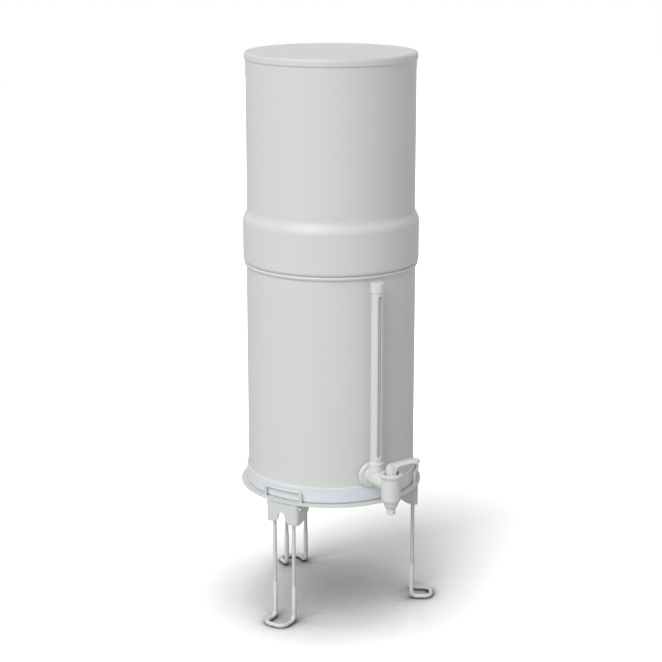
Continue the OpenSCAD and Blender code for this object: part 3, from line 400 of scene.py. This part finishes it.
# Lower chamber
# A drawn and rolled steel vessel, powder-coated inside and out. Its rim is rolled over to a bead that the
# upper chamber rests on.
lower_r, lower_floor, lower_rim = 111.0, 172.4, 470.9
sheet_t = 1.0
bead_out, bead_height, bead_corner = 114.0, 4.8, 2.3
lower_chamber = new_object("lower_chamber_shell", turned(rounded([
    (0, lower_floor, 0), (lower_r, lower_floor, 6), (lower_r, lower_rim - bead_height, 0.8),
    (bead_out, lower_rim - bead_height, bead_corner), (bead_out, lower_rim, bead_corner),
    (lower_r - sheet_t, lower_rim, 0.4), (lower_r - sheet_t, lower_floor + sheet_t, 5),
    (0, lower_floor + sheet_t, 0)]), 224), powder_coat)
tap_z = 207.3
tap_place = axis @ Matrix.Translation((0, 0, tap_z)) @ Matrix.Rotation(-math.pi / 2, 4, "Z")
along_tap = tap_place @ Matrix.Rotation(math.pi / 2, 4, "Y")
cut(lower_chamber, turned([(0, 90), (8, 90), (8, 130), (0, 130)], 48, along_tap))
settle(lower_chamber, "lower", "powder_coat", "lower_chamber", crease=50)

# Base boot
# A moulded silicone boot stretched over the chamber's base, with its lower edge rounded. It grips the ring and
# keeps the two coats apart; bluish white and matte beside the coated steel.
boot_r, boot_in_r, boot_lip_r = 113.45, 111.05, 94.0
boot_top = 192.0
boot = new_object("base_boot_moulding", turned(rounded([
    (boot_lip_r, ring_top, 0.6), (boot_r, ring_top, 4), (boot_r, boot_top, 0.9), (boot_in_r, boot_top, 0.5),
    (boot_in_r, lower_floor, 2.5), (boot_lip_r, lower_floor, 0.6)]), 224), silicone)
settle(boot, "lower", "pale_silicone", "base_boot")

# Tap at the wall
# Injection-moulded polypropylene, the same off-white as the coat: a thick flange with a broad round edge and a
# low hub. Its tail goes through the wall between two rubber gaskets and is held by a nut inside.
flange_back, flange_front = 113.8, 119.8
flange_r, flange_t, flange_round = 17.4, 4.2, 3.0
hub_r, hub_round, tail_r = 10.0, 0.6, 7.85
tap_plastic = finish_of("moulded_polypropylene", "#dfe1de", "#dbdddb", 0.36, 1.49, 25, 1.4, 0.006)
flange = new_object("wall_flange_moulding", turned(rounded([
    (tail_r, flange_back, 0.2), (flange_r, flange_back, 0.8), (flange_r, flange_back + flange_t, flange_round),
    (hub_r, flange_back + flange_t, hub_round), (hub_r, flange_front, hub_round),
    (tail_r, flange_front, 0.2)]), 96, along_tap), tap_plastic)
settle(flange, "lower", "tap_plastic", "wall_flange")


def dress(material, *nodes):
    """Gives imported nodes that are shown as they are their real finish."""
    for name in nodes:
        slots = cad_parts[name].data.materials
        slots.clear()
        slots.append(material)


# Grey nitrile rubber, pressed in a mould: matte, with a faint grain.
rubber = finish_of("nitrile_rubber", "#8f9293", "#868a8b", 0.62, 1.52, 12, 0.6, 0.01)
dress(rubber, "tap_outer_gasket", "tap_inner_gasket")
dress(tap_plastic, "tap_back_nut")

# Gauge tee
# Moulded in one: the level part behind the tap and the upright socket for the sight tube, run together with
# soft fillets as moulded pieces are.
gauge_r, tee_face = 130.0, 140.5
tee_r, tee_level_r = 10.0, 9.6
tee_top, tee_foot, tee_round = 10.5, -9.5, 8.0
tail_end, tail_root = 92.0, 122.0


def moulded(made, cell, passes):
    """Runs closed shapes together into one skin with soft fillets; cell is in millimetres."""
    skin = made.modifiers.new("skin", "REMESH")
    skin.mode, skin.voxel_size, skin.adaptivity = "VOXEL", cell / 1000, 0
    soft = made.modifiers.new("soft", "SMOOTH")
    soft.factor, soft.iterations = 0.5, passes
    return made


def together(*shapes):
    """Several shapes as one."""
    whole = bmesh.new()
    for shape in shapes:
        mesh = bpy.data.meshes.new("part")
        shape.to_mesh(mesh)
        whole.from_mesh(mesh)
        shape.free()
        bpy.data.meshes.remove(mesh)
    return whole


tee = new_object("gauge_tee_moulding", together(
    turned(rounded([(0, flange_front, 0), (tee_level_r, flange_front, 0.3), (tee_level_r, tee_face, 0.3),
                    (0, tee_face, 0)]), 72, along_tap),
    turned(rounded([(0, tail_end, 0), (tail_r - 0.1, tail_end, 0.5), (tail_r - 0.1, tail_root, 0.5),
                    (0, tail_root, 0)]), 72, along_tap),
    turned(rounded([(0, tee_foot, 0), (tee_r, tee_foot, tee_round), (tee_r, tee_top, 0.3), (0, tee_top, 0)]), 72,
           tap_place @ Matrix.Translation((gauge_r, 0, 0)))), tap_plastic)
settle(moulded(tee, 0.4, 6), "lower", "tap_plastic", "gauge_tee", crease=60)

# Gauge nut
# A round moulded nut that clamps the sight tube in the tee. Its top edge is chamfered, and a fine thread shows
# round its foot.
nut_h, nut_r, nut_bevel = 12.0, 9.9, 1.5
nut_low, nut_high = tap_z + tee_top, tap_z + tee_top + nut_h
housing_r = 7.85
thread_low, thread_high, thread_pitch, thread_depth = nut_low + 0.8, nut_low + 8.0, 1.8, 0.5
thread_rows, thread_row_h, thread_root_r = 52, 0.16, 9.5


def thread_tree():
    """A tree that presses a helical groove into a turned piece, between two heights."""
    tree = bpy.data.node_groups.new("screw_thread", "GeometryNodeTree")
    for name, kind in (("Piece", "Geometry"), ("Centre", "Vector"), ("Low", "Float"), ("High", "Float"),
                       ("Pitch", "Float"), ("Depth", "Float"), ("Inner radius", "Float"), ("Finish", "Material")):
        tree.interface.new_socket(name, in_out="INPUT", socket_type="NodeSocket" + kind)
    tree.interface.new_socket("Threaded", in_out="OUTPUT", socket_type="NodeSocketGeometry")
    given = add(tree, "NodeGroupInput").outputs
    here = add(tree, "GeometryNodeInputPosition").outputs[0]
    out = add(tree, "ShaderNodeVectorMath", {"operation": "SUBTRACT"}, {0: here, 1: given["Centre"]})
    parts = add(tree, "ShaderNodeSeparateXYZ", None, {"Vector": out.outputs[0]})
    level = add(tree, "ShaderNodeCombineXYZ", None, {"X": parts.outputs["X"], "Y": parts.outputs["Y"]})
    radius = add(tree, "ShaderNodeVectorMath", {"operation": "LENGTH"}, {0: level.outputs[0]})
    height = add(tree, "ShaderNodeSeparateXYZ", None, {"Vector": here}).outputs["Z"]
    angle = add(tree, "ShaderNodeMath", {"operation": "ARCTAN2"}, {0: parts.outputs["Y"], 1: parts.outputs["X"]})
    rise = add(tree, "ShaderNodeMath", {"operation": "DIVIDE"}, {0: height, 1: given["Pitch"]})
    turns = add(tree, "ShaderNodeMath", {"operation": "MULTIPLY"}, {0: rise.outputs[0], 1: 2 * math.pi})
    phase = add(tree, "ShaderNodeMath", {"operation": "ADD"}, {0: turns.outputs[0], 1: angle.outputs[0]})
    wave = add(tree, "ShaderNodeMath", {"operation": "SINE"}, {0: phase.outputs[0]})
    over = add(tree, "ShaderNodeMath", {"operation": "GREATER_THAN"}, {0: height, 1: given["Low"]})
    under = add(tree, "ShaderNodeMath", {"operation": "LESS_THAN"}, {0: height, 1: given["High"]})
    outer = add(tree, "ShaderNodeMath", {"operation": "GREATER_THAN"}, {
        0: radius.outputs["Value"], 1: given["Inner radius"]})
    inside = add(tree, "ShaderNodeMath", {"operation": "MULTIPLY"}, {0: over.outputs[0], 1: under.outputs[0]})
    where = add(tree, "ShaderNodeMath", {"operation": "MULTIPLY"}, {0: inside.outputs[0], 1: outer.outputs[0]})
    press = add(tree, "ShaderNodeMath", {"operation": "MULTIPLY_ADD"}, {0: wave.outputs[0], 1: -0.5, 2: -0.5})
    depth = add(tree, "ShaderNodeMath", {"operation": "MULTIPLY"}, {0: press.outputs[0], 1: given["Depth"]})
    moved = add(tree, "ShaderNodeMath", {"operation": "MULTIPLY"}, {0: depth.outputs[0], 1: where.outputs[0]})
    way = add(tree, "ShaderNodeVectorMath", {"operation": "NORMALIZE"}, {0: level.outputs[0]})
    step = add(tree, "ShaderNodeVectorMath", {"operation": "SCALE"}, {0: way.outputs[0], "Scale": moved.outputs[0]})
    cut_in = add(tree, "GeometryNodeSetPosition", None, {"Geometry": given["Piece"], "Offset": step.outputs[0]})
    whole = add(tree, "GeometryNodeRealizeInstances", None, {"Geometry": cut_in.outputs[0]})
    dressed = add(tree, "GeometryNodeSetMaterial", None, {"Geometry": whole.outputs[0], "Material": given["Finish"]})
    add(tree, "NodeGroupOutput", None, {"Threaded": dressed.outputs[0]})
    return tree


gauge_place = axis @ Matrix.Translation((0, -gauge_r, 0))
gauge_centre = (gauge_place @ Vector((0, 0, 0))) / 1000
nut_side = [Vector((nut_r, nut_low + 0.4 + k * thread_row_h)) for k in range(thread_rows)]
nut_outline = ([Vector((housing_r + 0.05, nut_low)), Vector((nut_r - 0.4, nut_low))] + nut_side
               + rounded([(nut_r, nut_low + 9, 0), (nut_r, nut_high - nut_bevel, 0.5),
                          (nut_r - nut_bevel, nut_high, 0.4), (housing_r + 0.05, nut_high, 0)])[1:])
gauge_nut = new_object("gauge_nut_moulding", turned(nut_outline, 96, gauge_place), tap_plastic)
grow(gauge_nut, thread_tree(), centre=gauge_centre, low=thread_low / 1000, high=thread_high / 1000,
     pitch=thread_pitch / 1000, depth=thread_depth / 1000, inner_radius=thread_root_r / 1000, finish=tap_plastic)
settle(gauge_nut, "lower", "tap_plastic", "gauge_nut")

# Gauge housing
# An extruded plastic tube with a long window milled down its front, round at both ends. It guards the clear
# tube inside it.
housing_bore_r = 5.9
cap_low, cap_high = 453.0, 465.4
window_w = 5.5
window_low, window_high = nut_high + 7.4, cap_low - 4.2


def stadium(width, low, high, near, far, place):
    """A closed slot cutter, round at both ends, from near to far along local x."""
    outline = []
    half = width / 2
    for middle, start in ((high - half, 0), (low + half, math.pi)):
        outline += [(half * math.cos(start + k * math.pi / 16), middle + half * math.sin(start + k * math.pi / 16))
                    for k in range(17)]
    shape = bmesh.new()
    caps = [[shape.verts.new((x, y, z)) for y, z in outline] for x in (near, far)]
    for k in range(len(outline)):
        n = (k + 1) % len(outline)
        shape.faces.new((caps[0][k], caps[0][n], caps[1][n], caps[1][k]))
    shape.faces.new(caps[0])
    shape.faces.new(caps[1])
    bmesh.ops.recalc_face_normals(shape, faces=shape.faces)
    shape.transform(place)
    return shape


housing = new_object("gauge_housing_tube", turned(rounded([
    (housing_bore_r, nut_low, 0.2), (housing_r, nut_low, 0.2), (housing_r, cap_low, 0.2),
    (housing_bore_r, cap_low, 0.2)]), 96, gauge_place), tap_plastic)
cut(housing, stadium(window_w, window_low, window_high, 0, 20, gauge_place @ Matrix.Rotation(-math.pi / 2, 4, "Z")))
rim = housing.modifiers.new("edges", "BEVEL")
rim.width, rim.segments, rim.limit_method, rim.angle_limit = 0.0004, 2, "ANGLE", math.radians(50)
settle(housing, "lower", "tap_plastic", "gauge_housing")

# Sight tube, float and seals
# A clear acrylic tube, drawn and polished, in which a dark moulded float shows the water's level. A rubber
# ring seals each end.
tube_r, tube_bore_r = 5.5, 4.3
tube_low, tube_high = nut_low - 5.8, cap_low + 5.0
acrylic = finish_of("clear_acrylic", "#d8dad9", "#d2d5d4", 0.22, 1.49, 30, 6, 0.003)
acrylic.node_tree.nodes["Principled BSDF"].inputs["Transmission Weight"].default_value = 0.12
tube = new_object("sight_tube_glass", turned(rounded([
    (tube_bore_r, tube_low, 0.2), (tube_r, tube_low, 0.2), (tube_r, tube_high, 0.2), (tube_bore_r, tube_high, 0.2)]),
    72, gauge_place), acrylic)
settle(tube, "lower", "clear_tube", "sight_tube")
float_plastic = finish_of("dark_polyethylene", "#3c4144", "#34383b", 0.5, 1.51, 6, 0.7, 0.01)
float_low, float_h, float_r, waist_r = tap_z + 104, 5.0, 3.9, 3.6
gauge_float = new_object("gauge_float_moulding", turned(rounded([
    (0, float_low, 0), (float_r, float_low, 0.8), (float_r, float_low + 1.8, 0.2), (waist_r, float_low + 2.1, 0.2),
    (waist_r, float_low + 2.9, 0.2), (float_r, float_low + 3.2, 0.2), (float_r, float_low + float_h, 0.8),
    (0, float_low + float_h, 0)]), 48, gauge_place), float_plastic)
settle(gauge_float, "float", "dark_float", "gauge_float")
dress(rubber, "gauge_seal", "cap_seal")

# Gauge cap
# A moulded cap pushed over the tube's top, with a rounded edge. It stands out from the housing by a small step,
# as moulded caps of this kind do.
cap_r, cap_bore_r, cap_depth = 8.9, 5.55, 6.0
gauge_cap = new_object("gauge_cap_moulding", turned(rounded([
    (0, cap_high, 0), (cap_r, cap_high, 1.1), (cap_r, cap_low, 0.5), (cap_bore_r, cap_low, 0.2),
    (cap_bore_r, cap_low + cap_depth, 0.2), (0, cap_low + cap_depth, 0)]), 96, gauge_place), tap_plastic)
settle(gauge_cap, "lower", "tap_plastic", "gauge_cap")

# Tap body
# The arm and the barrel are one moulding: a cone that runs into an upright barrel with a flared top and a
# bevelled foot. The spout screws into it from below.
tap_r = 170.0
barrel_r, barrel_top_r, barrel_foot_r = 12.45, 12.7, 10.0
barrel_top, barrel_foot = 10.1, -20.1
barrel_bevel, barrel_flare = 4.5, 5.0
barrel_place = tap_place @ Matrix.Translation((tap_r, 0, 0))
body_shape = together(
    turned(rounded([(0, tee_face, 0), (9.3, tee_face, 0.3), (7.8, tap_r, 0), (0, tap_r, 0)]), 72, along_tap),
    turned(rounded([(0, barrel_foot, 0), (barrel_foot_r, barrel_foot, 0.3), (barrel_r, barrel_foot + barrel_bevel, 1.5),
                    (barrel_r, barrel_top - barrel_flare, 4), (barrel_top_r, barrel_top, 0.3),
                    (0, barrel_top, 0)]), 96, barrel_place))
tap_body = new_object("tap_body_moulding", body_shape, tap_plastic)
settle(moulded(tap_body, 0.4, 6), "lower", "tap_plastic", "tap_body", crease=60)

# Spout
# A separate moulding under the barrel: a cone that narrows to a short plain nozzle with a rounded mouth. The
# joint to the barrel shows as a fine line.
nozzle_r, nozzle_bore_r = 5.9, 4.4
cone_foot, nozzle_end = -27.8, -35.7
seat_bore_r, seat_r, plug_r = 3.4, 5.2, 8.0
seat_top, plug_top = -13.0, -14.5
spout = new_object("spout_moulding", turned(rounded([
    (seat_bore_r, seat_top, 0.2), (seat_r, seat_top, 0.2), (seat_r, plug_top, 0), (plug_r, plug_top, 0.2),
    (plug_r, barrel_foot, 0),
    (barrel_foot_r - 0.45, barrel_foot, 0.25), (8.9, -23.2, 2.5), (nozzle_r + 0.25, cone_foot, 0.6),
    (nozzle_r, cone_foot - 0.5, 0.2), (nozzle_r, nozzle_end, 0.7), (nozzle_bore_r, nozzle_end, 0.3),
    (nozzle_bore_r, barrel_foot, 0.5), (seat_bore_r, barrel_foot, 0.3)]), 96, barrel_place), tap_plastic)
settle(spout, "lower", "tap_plastic", "spout")

# Bonnet
# The scalloped cap that turns on the barrel and carries the lever. Moulded, with a flare like a bell, a rim
# cut by fine scallops for the fingers, and a recess in its top for the lever's foot.
bonnet_foot, bonnet_top = 10.9, 19.0
bonnet_r, bonnet_plug_r, bonnet_plug_foot = 15.2, 9.3, 5.3
scallop_count, scallop_depth, scallop_root_r = 28, 0.5, 12.5
scallop_low, scallop_high = tap_z + 14.5, tap_z + 16.5
recess_rear, recess_front, recess_half_w, recess_floor = 8.3, 9.3, 6.95, 11.2
pivot_x, pivot_up, pivot_hole_r, pivot_half = 4.6, 15.2, 1.25, 10.5
lever_turn = math.radians(60)
lever_place = barrel_place @ Matrix.Rotation(lever_turn, 4, "Z")


def scallop_tree():
    """A tree that presses a ring of scallops into a turned piece, deepest between two heights."""
    tree = bpy.data.node_groups.new("scallops", "GeometryNodeTree")
    for name, kind in (("Piece", "Geometry"), ("Centre", "Vector"), ("Low", "Float"), ("High", "Float"),
                       ("Count", "Float"), ("Depth", "Float"), ("Inner radius", "Float"), ("Finish", "Material")):
        tree.interface.new_socket(name, in_out="INPUT", socket_type="NodeSocket" + kind)
    tree.interface.new_socket("Scalloped", in_out="OUTPUT", socket_type="NodeSocketGeometry")
    given = add(tree, "NodeGroupInput").outputs
    here = add(tree, "GeometryNodeInputPosition").outputs[0]
    out = add(tree, "ShaderNodeVectorMath", {"operation": "SUBTRACT"}, {0: here, 1: given["Centre"]})
    parts = add(tree, "ShaderNodeSeparateXYZ", None, {"Vector": out.outputs[0]})
    level = add(tree, "ShaderNodeCombineXYZ", None, {"X": parts.outputs["X"], "Y": parts.outputs["Y"]})
    radius = add(tree, "ShaderNodeVectorMath", {"operation": "LENGTH"}, {0: level.outputs[0]})
    angle = add(tree, "ShaderNodeMath", {"operation": "ARCTAN2"}, {0: parts.outputs["Y"], 1: parts.outputs["X"]})
    turns = add(tree, "ShaderNodeMath", {"operation": "MULTIPLY"}, {0: angle.outputs[0], 1: given["Count"]})
    wave = add(tree, "ShaderNodeMath", {"operation": "COSINE"}, {0: turns.outputs[0]})
    press = add(tree, "ShaderNodeMath", {"operation": "MULTIPLY_ADD"}, {0: wave.outputs[0], 1: -0.5, 2: 0.5})
    hollow = add(tree, "ShaderNodeMath", {"operation": "POWER"}, {0: press.outputs[0], 1: 0.7})
    height = add(tree, "ShaderNodeSeparateXYZ", None, {"Vector": here}).outputs["Z"]
    fade = add(tree, "ShaderNodeMapRange", {"interpolation_type": "SMOOTHSTEP"}, {
        "Value": height, "From Min": given["Low"], "From Max": given["High"], "To Min": 0.0, "To Max": 1.0})
    outer = add(tree, "ShaderNodeMath", {"operation": "GREATER_THAN"}, {
        0: radius.outputs["Value"], 1: given["Inner radius"]})
    where = add(tree, "ShaderNodeMath", {"operation": "MULTIPLY"}, {0: fade.outputs["Result"], 1: outer.outputs[0]})
    depth = add(tree, "ShaderNodeMath", {"operation": "MULTIPLY"}, {0: hollow.outputs[0], 1: given["Depth"]})
    moved = add(tree, "ShaderNodeMath", {"operation": "MULTIPLY"}, {0: depth.outputs[0], 1: where.outputs[0]})
    back = add(tree, "ShaderNodeMath", {"operation": "MULTIPLY"}, {0: moved.outputs[0], 1: -1.0})
    way = add(tree, "ShaderNodeVectorMath", {"operation": "NORMALIZE"}, {0: level.outputs[0]})
    step = add(tree, "ShaderNodeVectorMath", {"operation": "SCALE"}, {0: way.outputs[0], "Scale": back.outputs[0]})
    cut_in = add(tree, "GeometryNodeSetPosition", None, {"Geometry": given["Piece"], "Offset": step.outputs[0]})
    whole = add(tree, "GeometryNodeRealizeInstances", None, {"Geometry": cut_in.outputs[0]})
    dressed = add(tree, "GeometryNodeSetMaterial", None, {"Geometry": whole.outputs[0], "Material": given["Finish"]})
    add(tree, "NodeGroupOutput", None, {"Scalloped": dressed.outputs[0]})
    return tree


bonnet = new_object("bonnet_moulding", turned(rounded([
    (0, bonnet_plug_foot, 0), (bonnet_plug_r, bonnet_plug_foot, 0.3), (bonnet_plug_r, bonnet_foot, 0),
    (12.6, bonnet_foot, 0.3), (13.0, 13.2, 3.0), (bonnet_r, 16.2, 1.8), (bonnet_r, bonnet_top, 1.6),
    (12.2, bonnet_top, 0), (0, bonnet_top, 0)]), scallop_count * 10, barrel_place), tap_plastic)
grow(bonnet, scallop_tree(), centre=(barrel_place @ Vector((0, 0, 0))) / 1000, low=scallop_low / 1000,
     high=scallop_high / 1000, count=float(scallop_count), depth=scallop_depth / 1000,
     inner_radius=scallop_root_r / 1000, finish=tap_plastic)


def block(low, high, place):
    """A closed block between two corners, used as a cutter."""
    shape = bmesh.new()
    size = Vector(high) - Vector(low)
    bmesh.ops.create_cube(shape, size=1, matrix=Matrix.Translation((Vector(low) + Vector(high)) / 2)
                          @ Matrix.Diagonal((*size, 1)))
    shape.transform(place)
    return shape


cut(bonnet, block((-recess_rear, -recess_half_w, recess_floor), (recess_front, recess_half_w, 25), lever_place))
cut(bonnet, turned([(0, -pivot_half), (pivot_hole_r, -pivot_half), (pivot_hole_r, 20), (0, 20)], 32,
                   lever_place @ Matrix.Translation((pivot_x, 0, pivot_up)) @ Matrix.Rotation(-math.pi / 2, 4, "X")))
settle(bonnet, "tap_head", "tap_plastic", "bonnet", crease=40)
dress(tap_plastic, "bonnet_seal")

# Lever
# One moulding: an upright hub with a rounded heel, from which a flat arm rises and then levels out to a round
# thumb pad. Edges are soft all round. It turns on a steel pin across the bonnet.
lever_r, lever_w, lever_t = 36.0, 10.0, 4.3
lever_hub_r, lever_foot = 6.75, 12.2
lever_top, lever_dip, lever_heel = 38.4, 8.0, 5.5
knee_share, knee_round, crook_round = 0.68, 14.0, 6.5


def prism(points, low, high, place):
    """A closed prism of an outline given in local x and z, from low to high along local y."""
    shape = bmesh.new()
    caps = [[shape.verts.new((x, y, z)) for x, z in points] for y in (low, high)]
    for k in range(len(points)):
        n = (k + 1) % len(points)
        shape.faces.new((caps[0][k], caps[0][n], caps[1][n], caps[1][k]))
    shape.faces.new(caps[0])
    shape.faces.new(caps[1])
    bmesh.ops.recalc_face_normals(shape, faces=shape.faces)
    shape.transform(place)
    return shape


heel_z = lever_top - lever_dip
knee = lever_r * knee_share
slope = lever_dip / (knee + lever_hub_r - lever_heel)
under = lever_top - lever_t - (knee - lever_hub_r) * slope
side = rounded([
    (lever_hub_r, lever_foot, 0.6), (lever_hub_r, under, crook_round), (knee, lever_top - lever_t, knee_round),
    (lever_r + 2, lever_top - lever_t, 0), (lever_r + 2, lever_top, 0), (knee, lever_top, knee_round),
    (-lever_hub_r, heel_z - lever_heel * slope, lever_heel), (-lever_hub_r, lever_foot, 0.6)])
lever = new_object("tap_lever_moulding", prism(side, -9, 9, lever_place), tap_plastic)
plan = [(lever_r - lever_w / 2 + lever_w / 2 * math.cos(a), lever_w / 2 * math.sin(a))
        for a in [math.pi / 2 - math.pi * k / 24 for k in range(25)]]
neck = math.asin(lever_w / 2 / lever_hub_r)
plan += [(lever_hub_r * math.cos(a), lever_hub_r * math.sin(a))
         for a in [-neck - k / 30 * (2 * math.pi - 2 * neck) for k in range(31)]]
cut(lever, prism(plan, 5, 50, lever_place @ Matrix.Rotation(math.pi / 2, 4, "X")), "INTERSECT")
settle(moulded(lever, 0.35, 9), "lever", "tap_plastic", "tap_lever", crease=60)

# Valve
# Stainless steel stem, pins and spring, turned, drawn and coiled, and a rubber cup that closes the seat. The
# spring presses the cup down until the lever lifts it.
stainless = finish_of("stainless_steel", "#c3c5c6", "#b9bcbe", 0.28, 1.5, 8, 0.8, 0.004)
stainless.node_tree.nodes["Principled BSDF"].inputs["Metallic"].default_value = 1.0
dress(stainless, "lever_pivot_pin", "link_pin", "tap_stem", "tap_spring")
dress(rubber, "seat_cup")

# Upper chamber
# A second drawn vessel: its foot flares to a wide band that sits on the lower rim, then a shoulder leads in to
# the straight wall. Powder-coated like the lower one.
upper_r, band_r, spigot_r = 109.6, 115.1, 108.0
upper_floor, upper_rim = 455.9, 731.6
band_top, shoulder_h, curl_r = 523.8, 17.6, 4.5


def sheet_outline(line, thickness):
    """The closed outline of a sheet along a line, with its thickness to the left of the line."""
    made = []
    for k, here in enumerate(line):
        before, after = line[max(k - 1, 0)], line[min(k + 1, len(line) - 1)]
        ways = [(b - a).normalized() for a, b in ((before, here), (here, after)) if (b - a).length > 1e-6]
        lefts = [Vector((-w.y, w.x)) for w in ways]
        both = sum(lefts, Vector((0, 0)))
        made.append(here + both * thickness / (1 + (lefts[0].dot(lefts[1]) if len(lefts) > 1 else 0)))
    return list(line) + made[::-1]


step_in = band_r - upper_r
swing = 2 * math.atan(step_in / shoulder_h)
shoulder_r = shoulder_h / 2 / math.sin(swing)
shoulder = [Vector((band_r - shoulder_r + shoulder_r * math.cos(swing * k / 10),
                    band_top + shoulder_r * math.sin(swing * k / 10))) for k in range(11)]
shoulder += [Vector((upper_r + shoulder_r - shoulder_r * math.cos(swing * (1 - k / 10)),
                     band_top + shoulder_h - shoulder_r * math.sin(swing * (1 - k / 10)))) for k in range(1, 11)]
foot_line = rounded([(0, upper_floor, 0), (spigot_r, upper_floor, 6), (spigot_r, lower_rim, 0.6),
                     (band_r, lower_rim, curl_r), (band_r, band_top, 0), (0, band_top, 0)])[:-2]
upper_line = (foot_line + [Vector((band_r, band_top - 0.8))] + shoulder
              + [Vector((upper_r, band_top + shoulder_h + 0.8)), Vector((upper_r, upper_rim - 0.5)),
                 Vector((upper_r, upper_rim))])
upper_chamber = new_object("upper_chamber_shell", turned(sheet_outline(upper_line, sheet_t), 224), powder_coat)
settle(upper_chamber, "upper", "powder_coat", "upper_chamber", crease=50)

# Filter candles
# Two fired ceramic domes, matte and slightly chalky, each glued in a white moulded base whose threaded stem
# goes through the floor to a wing nut. A plug closes the third hole.
ceramic = finish_of("fired_filter_ceramic", "#efe9dc", "#e6dfd0", 0.85, 1.5, 18, 0.8, 0.03)
white_plastic = finish_of("white_nylon", "#e8eaec", "#e2e5e8", 0.45, 1.53, 20, 1.0, 0.008)
dress(ceramic, "ceramic_candles")
dress(white_plastic, "candle_bases", "candle_wing_nuts", "blanking_plug", "plug_nut")
dress(rubber, "candle_washers", "plug_washer")

# Lid
# A pressed steel lid with a flat top and a rounded edge, hemmed below, and a short skirt that drops inside the
# upper chamber. The same coat.
lid_top, lid_r, lid_round = 741.7, 111.1, 3.5
skirt_r, skirt_h = 107.9, 10.0
lid_line = rounded([(0, lid_top, 0), (lid_r, lid_top, lid_round), (lid_r, upper_rim, 1.5), (skirt_r, upper_rim, 0.8),
                    (skirt_r, upper_rim - skirt_h, 0), (0, upper_rim - skirt_h, 0)])[:-1]
lid = new_object("lid_pressing", turned(sheet_outline(lid_line, -sheet_t), 224), powder_coat)
settle(lid, "cover", "powder_coat", "lid", crease=50)

# Studio
# A white floor under soft light from the left and above, and the camera at the photograph's angle. The floor
# and the world are white to the eye. The floor takes the lamps' shadows, and its colour also carries a painted shadow:
# ambient occlusion darkens it, deepest where the object is near.
camera_away, camera_height, camera_aim, camera_turn = 2200.0, 950.0, 372.4, math.radians(-26.6)
lens = 93.1
centre = (axis @ Vector((0, 0, camera_aim))) / 1000
eye = (axis @ Vector((camera_away * math.sin(camera_turn), -camera_away * math.cos(camera_turn), camera_height))) / 1000
camera = bpy.data.objects.new("camera", bpy.data.cameras.new("camera"))
camera.data.lens, camera.data.sensor_width = lens, 36.0
camera.location = eye
camera.rotation_euler = (centre - eye).to_track_quat("-Z", "Y").to_euler()
bpy.context.scene.collection.objects.link(camera)
bpy.context.scene.camera = camera

floor_lit, floor_seen = 0.9, 2.4
painted_shadow_reach, painted_shadow_power = 0.75, 3.1
floor_shape = bmesh.new()
bmesh.ops.create_grid(floor_shape, x_segments=1, y_segments=1, size=6000)
floor_finish = bpy.data.materials.new("white_floor")
floor_finish.use_nodes = True
floor_tree = floor_finish.node_tree
floor_tree.nodes.remove(floor_tree.nodes["Principled BSDF"])
seen = add(floor_tree, "ShaderNodeLightPath")
shade = add(floor_tree, "ShaderNodeMapRange", None, {
    "Value": seen.outputs["Is Camera Ray"], "To Min": floor_lit, "To Max": floor_seen})
# Painted shadow: ambient occlusion, raised to a power, darkens the floor's colour near the object, deepest close in.
near = add(floor_tree, "ShaderNodeAmbientOcclusion", {"samples": 16}, {"Distance": painted_shadow_reach})
dark = add(floor_tree, "ShaderNodeMath", {"operation": "POWER"}, {0: near.outputs["AO"], 1: painted_shadow_power})
both = add(floor_tree, "ShaderNodeMath", {"operation": "MULTIPLY"}, {
    0: shade.outputs["Result"], 1: dark.outputs[0]})
matte = add(floor_tree, "ShaderNodeBsdfDiffuse", None, {"Color": both.outputs[0]})
floor_tree.links.new(matte.outputs[0], floor_tree.nodes["Material Output"].inputs["Surface"])
floor = new_object("floor", floor_shape, floor_finish)

air_light = 0.27
world = bpy.data.worlds.new("studio_air")
world.use_nodes = True
air = world.node_tree
path = add(air, "ShaderNodeLightPath")
through = add(air, "ShaderNodeMath", {"operation": "MAXIMUM"}, {
    0: path.outputs["Is Camera Ray"], 1: path.outputs["Is Transmission Ray"]})
direct = add(air, "ShaderNodeMath", {"operation": "MAXIMUM"}, {0: through.outputs[0], 1: path.outputs["Is Glossy Ray"]})
strength = add(air, "ShaderNodeMapRange", None, {"Value": direct.outputs[0], "To Min": air_light, "To Max": 1.0})
air.links.new(strength.outputs["Result"], air.nodes["Background"].inputs["Strength"])
air.nodes["Background"].inputs["Color"].default_value = (1, 1, 1, 1)
bpy.context.scene.world = world


def sun(name, turn, height, width, strength):
    """A broad soft light from far off; turn is from the camera's side and height above the floor, in degrees."""
    light = bpy.data.lights.new(name, "SUN")
    light.angle, light.energy = math.radians(width), strength
    made = bpy.data.objects.new(name, light)
    a, e = camera_turn + math.radians(turn), math.radians(height)
    made.rotation_euler = Vector((math.sin(a) * math.cos(e), -math.cos(a) * math.cos(e), math.sin(e))) \
        .to_track_quat("Z", "Y").to_euler()
    bpy.context.scene.collection.objects.link(made)


sun("key_light", -30, 40, 45, 2.05)
sun("top_light", 10, 80, 50, 0.15)

bpy.context.scene.view_settings.view_transform = "Standard"
